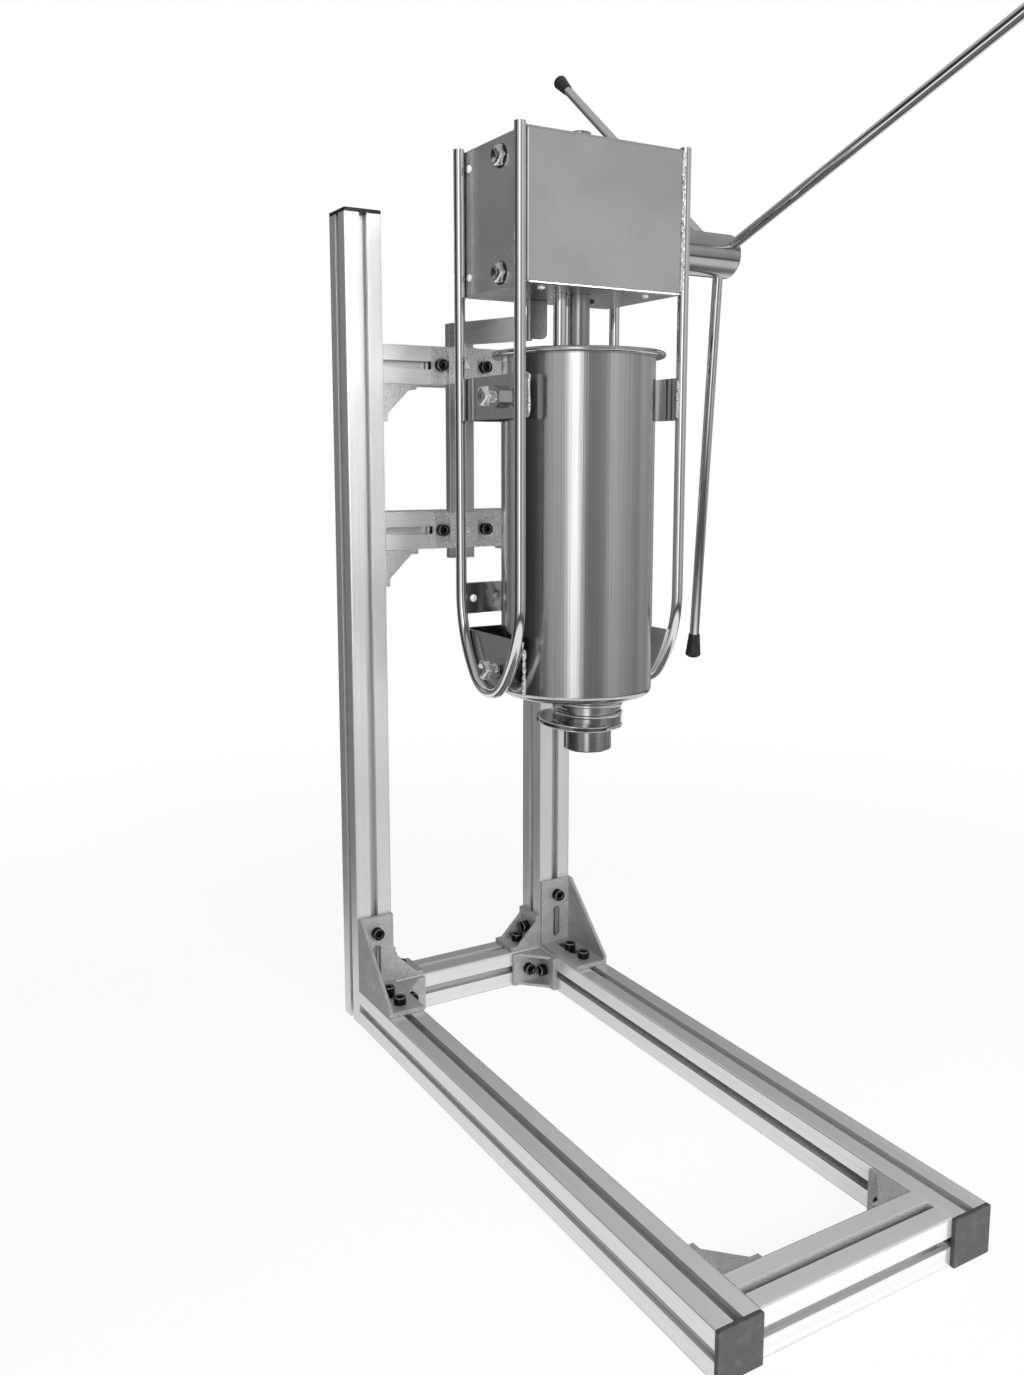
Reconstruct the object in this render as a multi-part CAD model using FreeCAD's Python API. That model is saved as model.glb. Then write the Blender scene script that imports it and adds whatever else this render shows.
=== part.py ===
import FreeCAD, Part
import math
import os
from FreeCAD import Matrix, Vector

# Churro maker: a hand-wound rack-and-pinion press on a stand of slotted aluminium profile.
# Millimetres. Z is up and X runs across the stand. The origin is on the floor, midway between
# the base rails, in the plane of the uprights' front faces. The base rails run forward, to -Y.

X_AXIS = Vector(1, 0, 0)
Y_AXIS = Vector(0, 1, 0)
Z_AXIS = Vector(0, 0, 1)

# ---------------------------------------------------------------- driving dimensions: the stand
PROFILE = 40.0                  # square slotted profile, side
SLOT_MOUTH = 8.2
SLOT_LIP = 4.5                  # thickness of the lips beside the mouth
SLOT_CAVITY = 20.0              # slot width just behind the lips
SLOT_FLOOR = 9.6                # slot width at its floor
SLOT_DEPTH = 12.3
CORE_BORE_RADIUS = 3.4
PROFILE_EDGE_RADIUS = 1.5

STAND_WIDTH = 270.0
RAIL_LENGTH = 590.0
UPRIGHT_HEIGHT = 850.0
UPPER_CROSSBAR_Z = 684.0        # underside of the upper crossbar
LOWER_CROSSBAR_Z = 513.0        # underside of the lower crossbar
CAP_THICKNESS = 4.0
CAP_PEG_LENGTH = 10.0
CAP_PEG_CLEARANCE = 0.1

BOLT_RADIUS = 4.0               # M8 socket-head screws hold the whole stand
BOLT_HEAD_RADIUS = 6.5
BOLT_HEAD_HEIGHT = 8.0
BOLT_SOCKET = 6.0               # across the flats
BOLT_SOCKET_DEPTH = 4.5
BOLT_HOLE_CLEARANCE = 0.3
THREAD_CLEARANCE = 0.05
TEE_NUT_WIDTH = 10.0
TEE_NUT_LENGTH = 18.0
TEE_NUT_HEIGHT = 6.0
BOLT_TIP = 1.0                  # how far a bolt reaches past its tee nut

CORNER_LEG = 38.0               # small cast corner bracket
CORNER_WIDTH = 38.0
CORNER_WALL = 5.0
CORNER_WEB = 3.5
CORNER_TOE = 8.0                # straight end of each leg, clear of the webs
CORNER_BOLT = 19.5              # bolt's distance from the corner
TALL_LEG = 80.0                 # tall cast bracket between a rail and its upright
TALL_WALL = 5.0
TALL_GUSSET = 4.0
TALL_NOSE = 9.0                 # blunt end of the gusset
TALL_BOLT = 62.0                # outer bolt's distance from the corner
TALL_SLOT_BOLT = 34.0           # bolt that sits in the foot's slot
TALL_SLOT_START = 15.0
TALL_SLOT_END = 43.0

MOUNT_BAR_X = -10.0             # middle of the bar
MOUNT_BAR_WIDTH = 29.0
MOUNT_BAR_THICKNESS = 10.0
MOUNT_BAR_BOTTOM = 503.0
MOUNT_BAR_DROP = 6.0            # bar's top below the gearbox
CLAMP_LEFT = -41.0              # ends of the saddle clamps
CLAMP_RIGHT = 42.0
CLAMP_HEIGHT = 38.0
CLAMP_WING = 6.0                # wing thickness
CLAMP_WALL = 4.0                # metal over the bar
CLAMP_CHEEK = 1.8               # metal beside the bar
CLAMP_BOLT_MARGIN = 0.3         # left screw head to the cheek
CLAMP_RIGHT_BOLT = 19.0
BAR_FIT = 0.2                   # room for the bar in its clamp
SET_SCREW_PROUD = 9.0

# ------------------------------------------------------------- driving dimensions: the machine
CYLINDER_RADIUS = 70.0
CYLINDER_WALL = 1.5
CYLINDER_BOTTOM = 391.0
CYLINDER_FLOOR = 4.0
CYLINDER_FOOT_RADIUS = 7.0      # rounding between wall and floor
CYLINDER_Y = -215.6             # axis of the cylinder, rack and gearbox guides
RIM_RADIUS = 79.0
RIM_THICKNESS = 5.0
OUTLET_OFFSET = 20.0            # the outlet is this far in front of the cylinder's axis
COLLAR_RADIUS = 30.5            # plain collar between the cylinder and the ring nut
COLLAR_HEIGHT = 12.0
NECK_RADIUS = 27.0
NECK_BORE = 23.0
NECK_LENGTH = 22.7              # threaded neck and collar together
NUT_RADIUS = 31.0
NUT_HEIGHT = 15.0
NUT_LIP = 3.0
NUT_RING_GAP = 2.0              # groove left between the collar and the ring nut
NUT_THREAD_CLEARANCE = 0.08
WING_RADIUS = 35.0
WING_OFFSET = 15.0              # wing's middle, to the left of the nut's axis
WING_RISE = 4.0                 # wing's underside above the nut's
WING_THICKNESS = 5.0
WING_TILT_AXIS = 40.0           # degrees, level line through the tilted wing
WING_TILT = 6.0
NOZZLE_RADIUS = 22.0
NOZZLE_BORE = 19.5
NOZZLE_LENGTH = 27.0
NOZZLE_FLANGE = 3.0
NOZZLE_FIT = 0.3
DIE_THICKNESS = 4.0
STAR_POINTS = 8
STAR_OUTER = 9.0
STAR_INNER = 6.2

ROD_RADIUS = 5.0                # bent rods of the side frames
SIDE_FRAME_Y = -203.0           # middle of each U
SIDE_FRAME_HALF = 53.5          # from its middle to a leg
SIDE_FRAME_BOTTOM = 396.0       # rod's centre line at the lowest point
SIDE_FRAME_PROUD = 2.0          # legs stand above the gearbox
SIDE_ARC_RADIUS = 120.0
BOTTOM_ARC_RADIUS = 35.0
YOKE_SHEET = 3.0
YOKE_BEND = 12.0                # outer bend radius
YOKE_BACK_GAP = 2.0             # between the cylinder and the yoke's back
YOKE_REACH = 1.0                # how far a yoke passes the front leg's centre
UPPER_YOKE_BOTTOM = 642.0
UPPER_YOKE_TOP = 680.0
LOWER_YOKE_BOTTOM = 398.0
LOWER_YOKE_TOP = 448.0
LOWER_YOKE_BACK_BOTTOM = 420.0
STRAP_BOTTOM = 462.0
STRAP_TOP = 491.0
STRAP_SHEET = 3.0
STRAP_PLATE_END = 16.0          # doubler's length from the leg to its round end's centre

CLAMP_SCREW_RADIUS = 5.0        # M10 screws that hold the cylinder still
UPPER_CLAMP_Z = 661.0
LOWER_CLAMP_Z = 420.0
CLAMP_NUT_AF = 17.0
WELD_NUT_HEIGHT = 6.5
LOCK_NUT_HEIGHT = 5.5
CLAMP_HEAD_RADIUS = 8.0
CLAMP_HEAD_HEIGHT = 8.0
CLAMP_HEAD_GAP = 0.5            # thread showing between lock nut and head
CLAMP_PAD_RADIUS = 10.0
CLAMP_PAD_THICKNESS = 3.5
CONTACT_GAP = 0.3               # between surfaces of different bodies that press together

GEARBOX_HALF_WIDTH = 81.0
GEARBOX_FRONT = -260.0
GEARBOX_BACK = -144.0
GEARBOX_BOTTOM = 753.0
CYLINDER_GAP = 51.0             # cylinder rim to the gearbox, room to fill it
GEARBOX_HEIGHT = 126.0
GEARBOX_PLATE = 3.0
COVER_SHEET = 1.5
COVER_DEPTH = 10.0              # how far the front cover wraps round
COVER_BEND = 2.5
REAR_FLANGE = 20.0
COVER_TAB = 18.0
COVER_FIT = 0.1
GUIDE_HEIGHT = 20.0
GUIDE_DEPTH = 28.0
GUIDE_TOP_GAP = 3.3             # upper guide to the top plate
RACK_BUSH_WALL = 1.5
ROD_BUSH_WALL = 1.2
GUIDE_BOLT_AF = 17.0
GUIDE_BOLT_HEAD = 6.4
GUIDE_BOLT_RADIUS = 5.0
GUIDE_BOLT_LENGTH = 25.0
SCREW_RADIUS = 2.0              # M4 cover screws
SCREW_HEAD_RADIUS = 3.6
SCREW_HEAD_HEIGHT = 2.2
SCREW_LENGTH = 7.0
COVER_SCREW_X = 55.0
COVER_SCREW_INSET = 20.0        # from the gearbox's front face
SIDE_SCREW_INSET = 15.0         # from the gearbox's back face
SIDE_SCREW_MARGIN = 16.0        # from the gearbox's top and bottom
PLUG_RADIUS = 6.0
PLUG_HEAD_RADIUS = 8.5
PLUG_HEAD_HEIGHT = 2.5
PLUG_X = 27.0
PLUG_Y = -186.0

HANGER_SHEET = 4.0
HANGER_HEIGHT = 23.0
HANGER_TAB_WIDTH = 20.5
HANGER_DIP = 8.0                # how far the arm falls towards its front end
HANGER_TAB_FRONT = -169.0
HANGER_TAB_DROP = 35.0          # tab's depth below the gearbox
HANGER_FLANGE = 13.0
HANGER_BEND = 6.0

# ------------------------------------------------------------------ driving dimensions: drive
GEAR_MODULE = 1.75
PINION_TEETH = 17
PRESSURE_ANGLE = 20.0
PINION_WIDTH = 18.0
BACKLASH = 0.25
ROOT_CLEARANCE = 0.5            # tooth tip to the facing root
RACK_RADIUS = 10.0
RACK_PITCH_LINE = 7.5           # from the rack's axis back to its pitch line
RACK_PROUD = 13.0               # rack's end above the gearbox at rest
GUIDE_ROD_RADIUS = 6.0
GUIDE_ROD_X = -20.0
GUIDE_ROD_TOP_GAP = 5.0         # guide rod's end below the gearbox's top
RUNNING_CLEARANCE = 0.05
SHAFT_RADIUS = 8.0
SHAFT_RISE = 52.0               # shaft's axis above the gearbox's underside
SHAFT_BUSH_WALL = 3.0
SHAFT_BUSH_INSIDE = 14.0        # length of a bush inside the gearbox
SHAFT_FLANGE_RADIUS = 18.0
SHAFT_FLANGE = 4.0
BLIND_WALL = 4.0                # closed end of the left bush
CIRCLIP_THICKNESS = 1.5
CIRCLIP_DEPTH = 1.2             # circlip groove
CIRCLIP_RADIUS = 11.5
SIDE_CLEARANCE = 0.6            # axial running gap

HUB_RADIUS = 21.0
HUB_END = 191.5
HUB_END_WALL = 6.0
HUB_EDGE_RADIUS = 3.0
ARM_PLANE_X = 180.0
ARM_COUNT = 3
FIRST_ARM_ANGLE = 22.5          # forward arm's rise above the horizontal
ARM_SPLAY = 3.0                 # degrees, the arms lean outwards from the machine
ARM_RADIUS = 5.0
ARM_ROOT = 10.0                 # arm's inner end, from the shaft's axis
ARM_TIP = 404.0
GRIP_START = 387.0
GRIP_END = 412.0
GRIP_SMALL_RADIUS = 5.9
GRIP_LARGE_RADIUS = 8.2
GRIP_EDGE = 2.0
HUB_SCREW_RADIUS = 4.0
HUB_SCREW_X = 112.0
HUB_SCREW_INSET = 1.0

PISTON_LIFT = 1.5               # piston's underside above the cylinder's floor at rest
PISTON_THICKNESS = 18.0
PISTON_GAP = 0.9
SEAL_HEIGHT = 6.0
SEAL_DEPTH = 5.0
SEAL_CLEARANCE = 0.12
STUB_RADIUS = 6.0               # rack's threaded end in the piston
ROD_STUB_RADIUS = 4.0
PISTON_NUT_AF = 18.0
ROD_NUT_AF = 13.0
PISTON_NUT_HEIGHT = 8.0
NUT_POCKET_MARGIN = 1.5
PLUNGER_TRAVEL = 290.0

# --------------------------------------------------------------------------- worked-out sizes
GEARBOX_TOP = GEARBOX_BOTTOM + GEARBOX_HEIGHT
CYLINDER_TOP = GEARBOX_BOTTOM - CYLINDER_GAP
SHAFT_Z = GEARBOX_BOTTOM + SHAFT_RISE
MOUNT_BAR_TOP = GEARBOX_BOTTOM - MOUNT_BAR_DROP
RAIL_X = STAND_WIDTH / 2 - PROFILE / 2
INNER_X = STAND_WIDTH / 2 - PROFILE
MID_Y = PROFILE / 2
BOLT_LENGTH = CORNER_WALL + SLOT_LIP + TEE_NUT_HEIGHT + BOLT_TIP
SHORT_UPRIGHT_HEIGHT = UPPER_CROSSBAR_Z + PROFILE
BORE_RADIUS = CYLINDER_RADIUS - CYLINDER_WALL
OUTLET_Y = CYLINDER_Y - OUTLET_OFFSET
NECK_BOTTOM = CYLINDER_BOTTOM - NECK_LENGTH
NUT_BOTTOM = CYLINDER_BOTTOM - COLLAR_HEIGHT - NUT_RING_GAP - NUT_HEIGHT
SIDE_FRAME_X = GEARBOX_HALF_WIDTH + ROD_RADIUS
YOKE_OUTER_X = GEARBOX_HALF_WIDTH
YOKE_INNER_X = YOKE_OUTER_X - YOKE_SHEET
YOKE_BACK_Y = CYLINDER_Y + CYLINDER_RADIUS + YOKE_BACK_GAP
FRONT_LEG_Y = SIDE_FRAME_Y - SIDE_FRAME_HALF
REAR_LEG_Y = SIDE_FRAME_Y + SIDE_FRAME_HALF
PLATE_FRONT = GEARBOX_FRONT + COVER_DEPTH
PLATE_BACK = GEARBOX_BACK - COVER_SHEET
PLATE_INNER_X = GEARBOX_HALF_WIDTH - GEARBOX_PLATE
LOWER_GUIDE_Z = GEARBOX_BOTTOM + GEARBOX_PLATE
UPPER_GUIDE_Z = GEARBOX_TOP - GEARBOX_PLATE - GUIDE_TOP_GAP - GUIDE_HEIGHT
PITCH_RADIUS = GEAR_MODULE * PINION_TEETH / 2
ADDENDUM = GEAR_MODULE
DEDENDUM = GEAR_MODULE + ROOT_CLEARANCE
SHAFT_Y = CYLINDER_Y + RACK_PITCH_LINE + PITCH_RADIUS
PISTON_BOTTOM = CYLINDER_BOTTOM + CYLINDER_FLOOR + PISTON_LIFT
PISTON_TOP = PISTON_BOTTOM + PISTON_THICKNESS
PISTON_RADIUS = BORE_RADIUS - PISTON_GAP
HUB_START = GEARBOX_HALF_WIDTH + SHAFT_FLANGE + SIDE_CLEARANCE
LEFT_BUSH_END = -PLATE_INNER_X + SHAFT_BUSH_INSIDE + BLIND_WALL


# ------------------------------------------------------------------------------ small helpers
def box(x0, x1, y0, y1, z0, z1):
    return Part.makeBox(x1 - x0, y1 - y0, z1 - z0, Vector(x0, y0, z0))


def rod(radius, start, direction, length):
    return Part.makeCylinder(radius, length, start, direction)


def tube(outer, inner, start, direction, length):
    return rod(outer, start, direction, length).cut(rod(inner, start, direction, length))


def prism(points, direction):
    """Closed polygon through the points, pushed along the direction vector."""
    face = Part.Face(Part.makePolygon(points + [points[0]]))
    return face.extrude(direction)


def hexagon(across_flats, start, direction, length):
    """Hexagonal bar from start along the direction."""
    corner = across_flats / math.sqrt(3)
    bar = Part.Face(Part.makePolygon([
        Vector(corner * math.cos(math.radians(60 * i)), corner * math.sin(math.radians(60 * i)), 0)
        for i in range(7)])).extrude(Z_AXIS * length)
    bar.Placement = FreeCAD.Placement(start, FreeCAD.Rotation(Z_AXIS, direction))
    return bar


def turned(points, centre, direction=Z_AXIS):
    """Solid of revolution: points are (radius, height) pairs along the direction."""
    wire = Part.makePolygon([Vector(r, 0, h) for r, h in points + [points[0]]])
    solid = Part.Face(wire).revolve(Vector(0, 0, 0), Z_AXIS, 360)
    solid.Placement = FreeCAD.Placement(centre, FreeCAD.Rotation(Z_AXIS, direction))
    return Part.Solid(solid) if solid.ShapeType != "Solid" else solid


def set_in_frame(shape, corner, x_dir, z_dir):
    """Move a shape from its own axes to a corner with the given X and Z directions."""
    y_dir = z_dir.cross(x_dir)
    frame = Matrix(x_dir.x, y_dir.x, z_dir.x, corner.x,
                   x_dir.y, y_dir.y, z_dir.y, corner.y,
                   x_dir.z, y_dir.z, z_dir.z, corner.z,
                   0, 0, 0, 1)
    moved = shape.copy()
    moved.transformShape(frame)
    return moved


def point_in_frame(point, corner, x_dir, z_dir):
    y_dir = z_dir.cross(x_dir)
    return corner + x_dir * point.x + y_dir * point.y + z_dir * point.z


def mirror_x(shape):
    return shape.mirror(Vector(0, 0, 0), X_AXIS)


NODES = {}


def add(name, *shapes):
    """Collect the solids of one node."""
    for shape in shapes:
        NODES.setdefault(name, []).extend(shape.Solids)


# ------------------------------------------------------------------------------ stand pieces
def profile_section():
    """Face of the slotted profile, centred on the origin in the XY plane."""
    half = PROFILE / 2
    lip = half - SLOT_LIP
    floor = half - SLOT_DEPTH
    slot = prism([Vector(-SLOT_MOUTH / 2, half + 1, 0), Vector(-SLOT_MOUTH / 2, lip, 0),
                  Vector(-SLOT_CAVITY / 2, lip, 0), Vector(-SLOT_FLOOR / 2, floor, 0),
                  Vector(SLOT_FLOOR / 2, floor, 0), Vector(SLOT_CAVITY / 2, lip, 0),
                  Vector(SLOT_MOUTH / 2, lip, 0), Vector(SLOT_MOUTH / 2, half + 1, 0)], Z_AXIS)
    block = box(-half, half, -half, half, 0, 1)
    block = block.makeFillet(PROFILE_EDGE_RADIUS, [e for e in block.Edges if upright_edge(e)])
    for turn in range(4):
        cutter = slot.copy()
        cutter.rotate(Vector(0, 0, 0), Z_AXIS, 90 * turn)
        block = block.cut(cutter)
    block = block.cut(rod(CORE_BORE_RADIUS, Vector(0, 0, 0), Z_AXIS, 1))
    return next(f for f in block.Faces if abs(f.CenterOfMass.z) < 1e-6 and abs(f.normalAt(0, 0).z) > 0.9)


def upright_edge(edge):
    return edge.Vertexes[0].Point[:2] == edge.Vertexes[-1].Point[:2] and edge.Length > 0.5


def profile_bar(start, direction, length):
    """Slotted bar whose centre line starts at a point."""
    face = PROFILE_FACE.copy()
    face.Placement = FreeCAD.Placement(start, FreeCAD.Rotation(Z_AXIS, direction))
    return face.extrude(direction * length)


def end_cap(seat, direction):
    """Cap over a bar's end, with a peg in the bar's core bore."""
    half = PROFILE / 2
    plate = box(-half, half, -half, half, 0, CAP_THICKNESS)
    plate = plate.makeFillet(PROFILE_EDGE_RADIUS, [e for e in plate.Edges if upright_edge(e)])
    peg_radius = CORE_BORE_RADIUS - CAP_PEG_CLEARANCE
    cap = plate.fuse(rod(peg_radius, Vector(0, 0, -CAP_PEG_LENGTH), Z_AXIS, CAP_PEG_LENGTH + 1))
    cap.Placement = FreeCAD.Placement(seat, FreeCAD.Rotation(Z_AXIS, direction))
    return cap


def socket_screw(seat, outward, length):
    """Socket-head screw: seat is under the head, outward is where the head points."""
    head = rod(BOLT_HEAD_RADIUS, seat, outward, BOLT_HEAD_HEIGHT)
    shank = rod(BOLT_RADIUS, seat - outward * length, outward, length + 1)
    socket_start = seat + outward * (BOLT_HEAD_HEIGHT - BOLT_SOCKET_DEPTH)
    return head.fuse(shank).cut(hexagon(BOLT_SOCKET, socket_start, outward, BOLT_SOCKET_DEPTH + 1))


def frame_fastener(seat, outward, along, wall):
    """Screw through a wall into a profile's slot, and the tee nut that it holds there."""
    length = wall + SLOT_LIP + TEE_NUT_HEIGHT + BOLT_TIP
    add("frame_bolts", socket_screw(seat, outward, length))
    nut = box(-TEE_NUT_LENGTH / 2, TEE_NUT_LENGTH / 2, -TEE_NUT_WIDTH / 2, TEE_NUT_WIDTH / 2,
              -TEE_NUT_HEIGHT, 0)
    nut = nut.cut(rod(BOLT_RADIUS + THREAD_CLEARANCE, Vector(0, 0, -TEE_NUT_HEIGHT - 1), Z_AXIS,
                      TEE_NUT_HEIGHT + 2))
    add("frame_tee_nuts", set_in_frame(nut, seat - outward * (wall + SLOT_LIP), along, outward))


def bolt_hole(centre, direction, wall):
    return rod(BOLT_RADIUS + BOLT_HOLE_CLEARANCE, centre - direction, direction, wall + 2)


def corner_bracket():
    """Small cast bracket: legs along +X and +Z from the corner, width along Y, two webs."""
    half = CORNER_WIDTH / 2
    legs = box(0, CORNER_LEG, -half, half, 0, CORNER_WALL)
    legs = legs.fuse(box(0, CORNER_WALL, -half, half, 0, CORNER_LEG))
    toe = CORNER_LEG - CORNER_TOE
    for y in (-half, half - CORNER_WEB):
        web = prism([Vector(0, y, 0), Vector(toe, y, 0), Vector(toe, y, CORNER_WALL),
                     Vector(CORNER_WALL, y, toe), Vector(0, y, toe)], Y_AXIS * CORNER_WEB)
        legs = legs.fuse(web)
    legs = legs.cut(bolt_hole(Vector(CORNER_BOLT, 0, 0), Z_AXIS, CORNER_WALL))
    legs = legs.cut(bolt_hole(Vector(0, 0, CORNER_BOLT), X_AXIS, CORNER_WALL))
    return legs.removeSplitter()


def place_corner_bracket(node, corner, x_dir, z_dir):
    add(node, set_in_frame(CORNER_SHAPE, corner, x_dir, z_dir))
    frame_fastener(corner + x_dir * CORNER_BOLT + z_dir * CORNER_WALL, z_dir, x_dir, CORNER_WALL)
    frame_fastener(corner + z_dir * CORNER_BOLT + x_dir * CORNER_WALL, x_dir, z_dir, CORNER_WALL)


def tall_bracket(outer_side):
    """Tall cast bracket, corner at the origin: foot to -Y, leg to +Z, gusset on one side."""
    half = PROFILE / 2
    shape = box(-half, half, -TALL_LEG, 0, 0, TALL_WALL)
    shape = shape.fuse(box(-half, half, -TALL_WALL, 0, 0, TALL_LEG))
    gusset_x = half - TALL_GUSSET if outer_side > 0 else -half
    outline = [Vector(gusset_x, 0, 0), Vector(gusset_x, -TALL_LEG, 0),
               Vector(gusset_x, -TALL_LEG, TALL_NOSE), Vector(gusset_x, -TALL_WALL - 3, TALL_LEG),
               Vector(gusset_x, 0, TALL_LEG)]
    shape = shape.fuse(prism(outline, X_AXIS * TALL_GUSSET))
    for direction, start in ((Z_AXIS, Vector(0, -1, 0)), (Y_AXIS, Vector(0, 0, 1))):
        wall_start = direction * -(TALL_WALL + 1)
        if direction is Z_AXIS:
            wall_start = direction * -1
        slot = rod(BOLT_RADIUS + BOLT_HOLE_CLEARANCE, start * TALL_SLOT_START + wall_start,
                   direction, TALL_WALL + 2)
        slot = slot.fuse(rod(BOLT_RADIUS + BOLT_HOLE_CLEARANCE, start * TALL_SLOT_END + wall_start,
                             direction, TALL_WALL + 2))
        width = BOLT_RADIUS + BOLT_HOLE_CLEARANCE
        if direction is Z_AXIS:
            middle = box(-width, width, -TALL_SLOT_END, -TALL_SLOT_START, -1, TALL_WALL + 1)
        else:
            middle = box(-width, width, -TALL_WALL - 1, 1, TALL_SLOT_START, TALL_SLOT_END)
        hole = rod(BOLT_RADIUS + BOLT_HOLE_CLEARANCE, start * TALL_BOLT + wall_start,
                   direction, TALL_WALL + 2)
        shape = shape.cut(slot.fuse(middle)).cut(hole)
    return shape.removeSplitter()


def build_stand():
    for side, name in ((-1, "left"), (1, "right")):
        x = side * RAIL_X
        height = UPRIGHT_HEIGHT if side < 0 else SHORT_UPRIGHT_HEIGHT
        rail_front = Vector(x, -RAIL_LENGTH, MID_Y)
        add("base_rail_" + name, profile_bar(rail_front, Y_AXIS, RAIL_LENGTH))
        add("upright_" + name, profile_bar(Vector(x, MID_Y, 0), Z_AXIS, height))
        add("profile_end_caps", end_cap(rail_front, -Y_AXIS), end_cap(Vector(x, MID_Y, height), Z_AXIS))
        corner = Vector(x, 0, PROFILE)
        bracket = tall_bracket(side)
        bracket.translate(corner)
        add("tall_bracket_" + name, bracket)
        frame_fastener(corner + Vector(0, -TALL_WALL, TALL_BOLT), -Y_AXIS, Z_AXIS, TALL_WALL)
        for reach in (TALL_BOLT, TALL_SLOT_BOLT):
            frame_fastener(corner + Vector(0, -reach, TALL_WALL), Z_AXIS, Y_AXIS, TALL_WALL)

        inward = X_AXIS * -side
        inner = side * INNER_X
        base = "base_corner_brackets"
        place_corner_bracket(base, Vector(inner, MID_Y, PROFILE), inward, Z_AXIS)
        place_corner_bracket(base, Vector(inner, 0, MID_Y), inward, -Y_AXIS)
        place_corner_bracket(base, Vector(inner, PROFILE - RAIL_LENGTH, MID_Y), inward, Y_AXIS)
        for crossbar_z in (UPPER_CROSSBAR_Z, LOWER_CROSSBAR_Z):
            place_corner_bracket("crossbar_brackets", Vector(inner, MID_Y, crossbar_z), inward, -Z_AXIS)

    crossbars = {"rear_crossbar": (MID_Y, MID_Y), "front_crossbar": (MID_Y - RAIL_LENGTH, MID_Y),
                 "upper_crossbar": (MID_Y, UPPER_CROSSBAR_Z + MID_Y),
                 "lower_crossbar": (MID_Y, LOWER_CROSSBAR_Z + MID_Y)}
    for name, (y, z) in crossbars.items():
        add(name, profile_bar(Vector(-INNER_X, y, z), X_AXIS, 2 * INNER_X))


def build_mounting_bar():
    """Vertical bar in front of the crossbars, and the two saddle clamps that hold it."""
    left = MOUNT_BAR_X - MOUNT_BAR_WIDTH / 2
    right = MOUNT_BAR_X + MOUNT_BAR_WIDTH / 2
    bar = box(left, right, -MOUNT_BAR_THICKNESS, 0, MOUNT_BAR_BOTTOM, MOUNT_BAR_TOP)
    bar = bar.makeFillet(1.0, [e for e in bar.Edges if upright_edge(e)])
    channel_left = left - BAR_FIT
    channel_right = right + BAR_FIT
    channel_y = -MOUNT_BAR_THICKNESS - BAR_FIT
    saddle_left = channel_left - CLAMP_CHEEK
    saddle_right = channel_right + CLAMP_CHEEK
    saddle_y = channel_y - CLAMP_WALL
    outline = [(CLAMP_LEFT, 0), (CLAMP_LEFT, -CLAMP_WING), (saddle_left, -CLAMP_WING),
               (saddle_left, saddle_y), (saddle_right, saddle_y), (saddle_right, -CLAMP_WING),
               (CLAMP_RIGHT, -CLAMP_WING), (CLAMP_RIGHT, 0), (channel_right, 0),
               (channel_right, channel_y), (channel_left, channel_y), (channel_left, 0)]
    left_bolt = saddle_left - CLAMP_BOLT_MARGIN - BOLT_HEAD_RADIUS
    for crossbar_z in (UPPER_CROSSBAR_Z, LOWER_CROSSBAR_Z):
        middle = crossbar_z + PROFILE / 2
        bottom = middle - CLAMP_HEIGHT / 2
        clamp = prism([Vector(x, y, bottom) for x, y in outline], Z_AXIS * CLAMP_HEIGHT)
        for bolt_x in (left_bolt, CLAMP_RIGHT_BOLT):
            seat = Vector(bolt_x, -CLAMP_WING, middle)
            clamp = clamp.cut(bolt_hole(seat, Y_AXIS, CLAMP_WING))
            frame_fastener(seat, -Y_AXIS, X_AXIS, CLAMP_WING)
        tip = Vector(MOUNT_BAR_X, -MOUNT_BAR_THICKNESS - THREAD_CLEARANCE, middle)
        clamp = clamp.cut(rod(BOLT_RADIUS + THREAD_CLEARANCE, tip, -Y_AXIS, CLAMP_WALL + 5))
        add("bar_clamps", clamp)
        length = -saddle_y - MOUNT_BAR_THICKNESS + SET_SCREW_PROUD
        screw = rod(BOLT_RADIUS, tip, -Y_AXIS, length)
        screw = screw.cut(hexagon(BOLT_RADIUS, tip - Y_AXIS * (length - BOLT_SOCKET_DEPTH), -Y_AXIS,
                                  BOLT_SOCKET_DEPTH + 1))
        add("bar_set_screws", screw)
    add("mounting_bar", bar)


# -------------------------------------------------------------------------- machine's frame
def side_frame_outline(z_top, offset=0.0):
    """Wire of one U in the YZ plane at X = 0; offset moves it inwards all the way round."""
    half = SIDE_FRAME_HALF - offset
    side_arc = SIDE_ARC_RADIUS - offset
    bottom_arc = BOTTOM_ARC_RADIUS - offset
    cos_turn = (side_arc - half) / (side_arc - bottom_arc)
    turn = math.acos(cos_turn)
    drop = (side_arc - bottom_arc) * math.sin(turn)
    bottom = SIDE_FRAME_BOTTOM + offset
    spring_z = bottom + bottom_arc + drop

    def on_side(angle):
        return (side_arc * math.cos(angle) - (side_arc - half), spring_z - side_arc * math.sin(angle))

    def vertex(side, pair):
        return Vector(0, SIDE_FRAME_Y + side * pair[0], pair[1])

    edges = [Part.LineSegment(vertex(-1, (half, z_top)), vertex(-1, (half, spring_z))).toShape()]
    edges.append(Part.Arc(vertex(-1, (half, spring_z)), vertex(-1, on_side(turn / 2)),
                          vertex(-1, on_side(turn))).toShape())
    edges.append(Part.Arc(vertex(-1, on_side(turn)), vertex(1, (0, bottom)),
                          vertex(1, on_side(turn))).toShape())
    edges.append(Part.Arc(vertex(1, on_side(turn)), vertex(1, on_side(turn / 2)),
                          vertex(1, (half, spring_z))).toShape())
    edges.append(Part.LineSegment(vertex(1, (half, spring_z)), vertex(1, (half, z_top))).toShape())
    return edges


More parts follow.
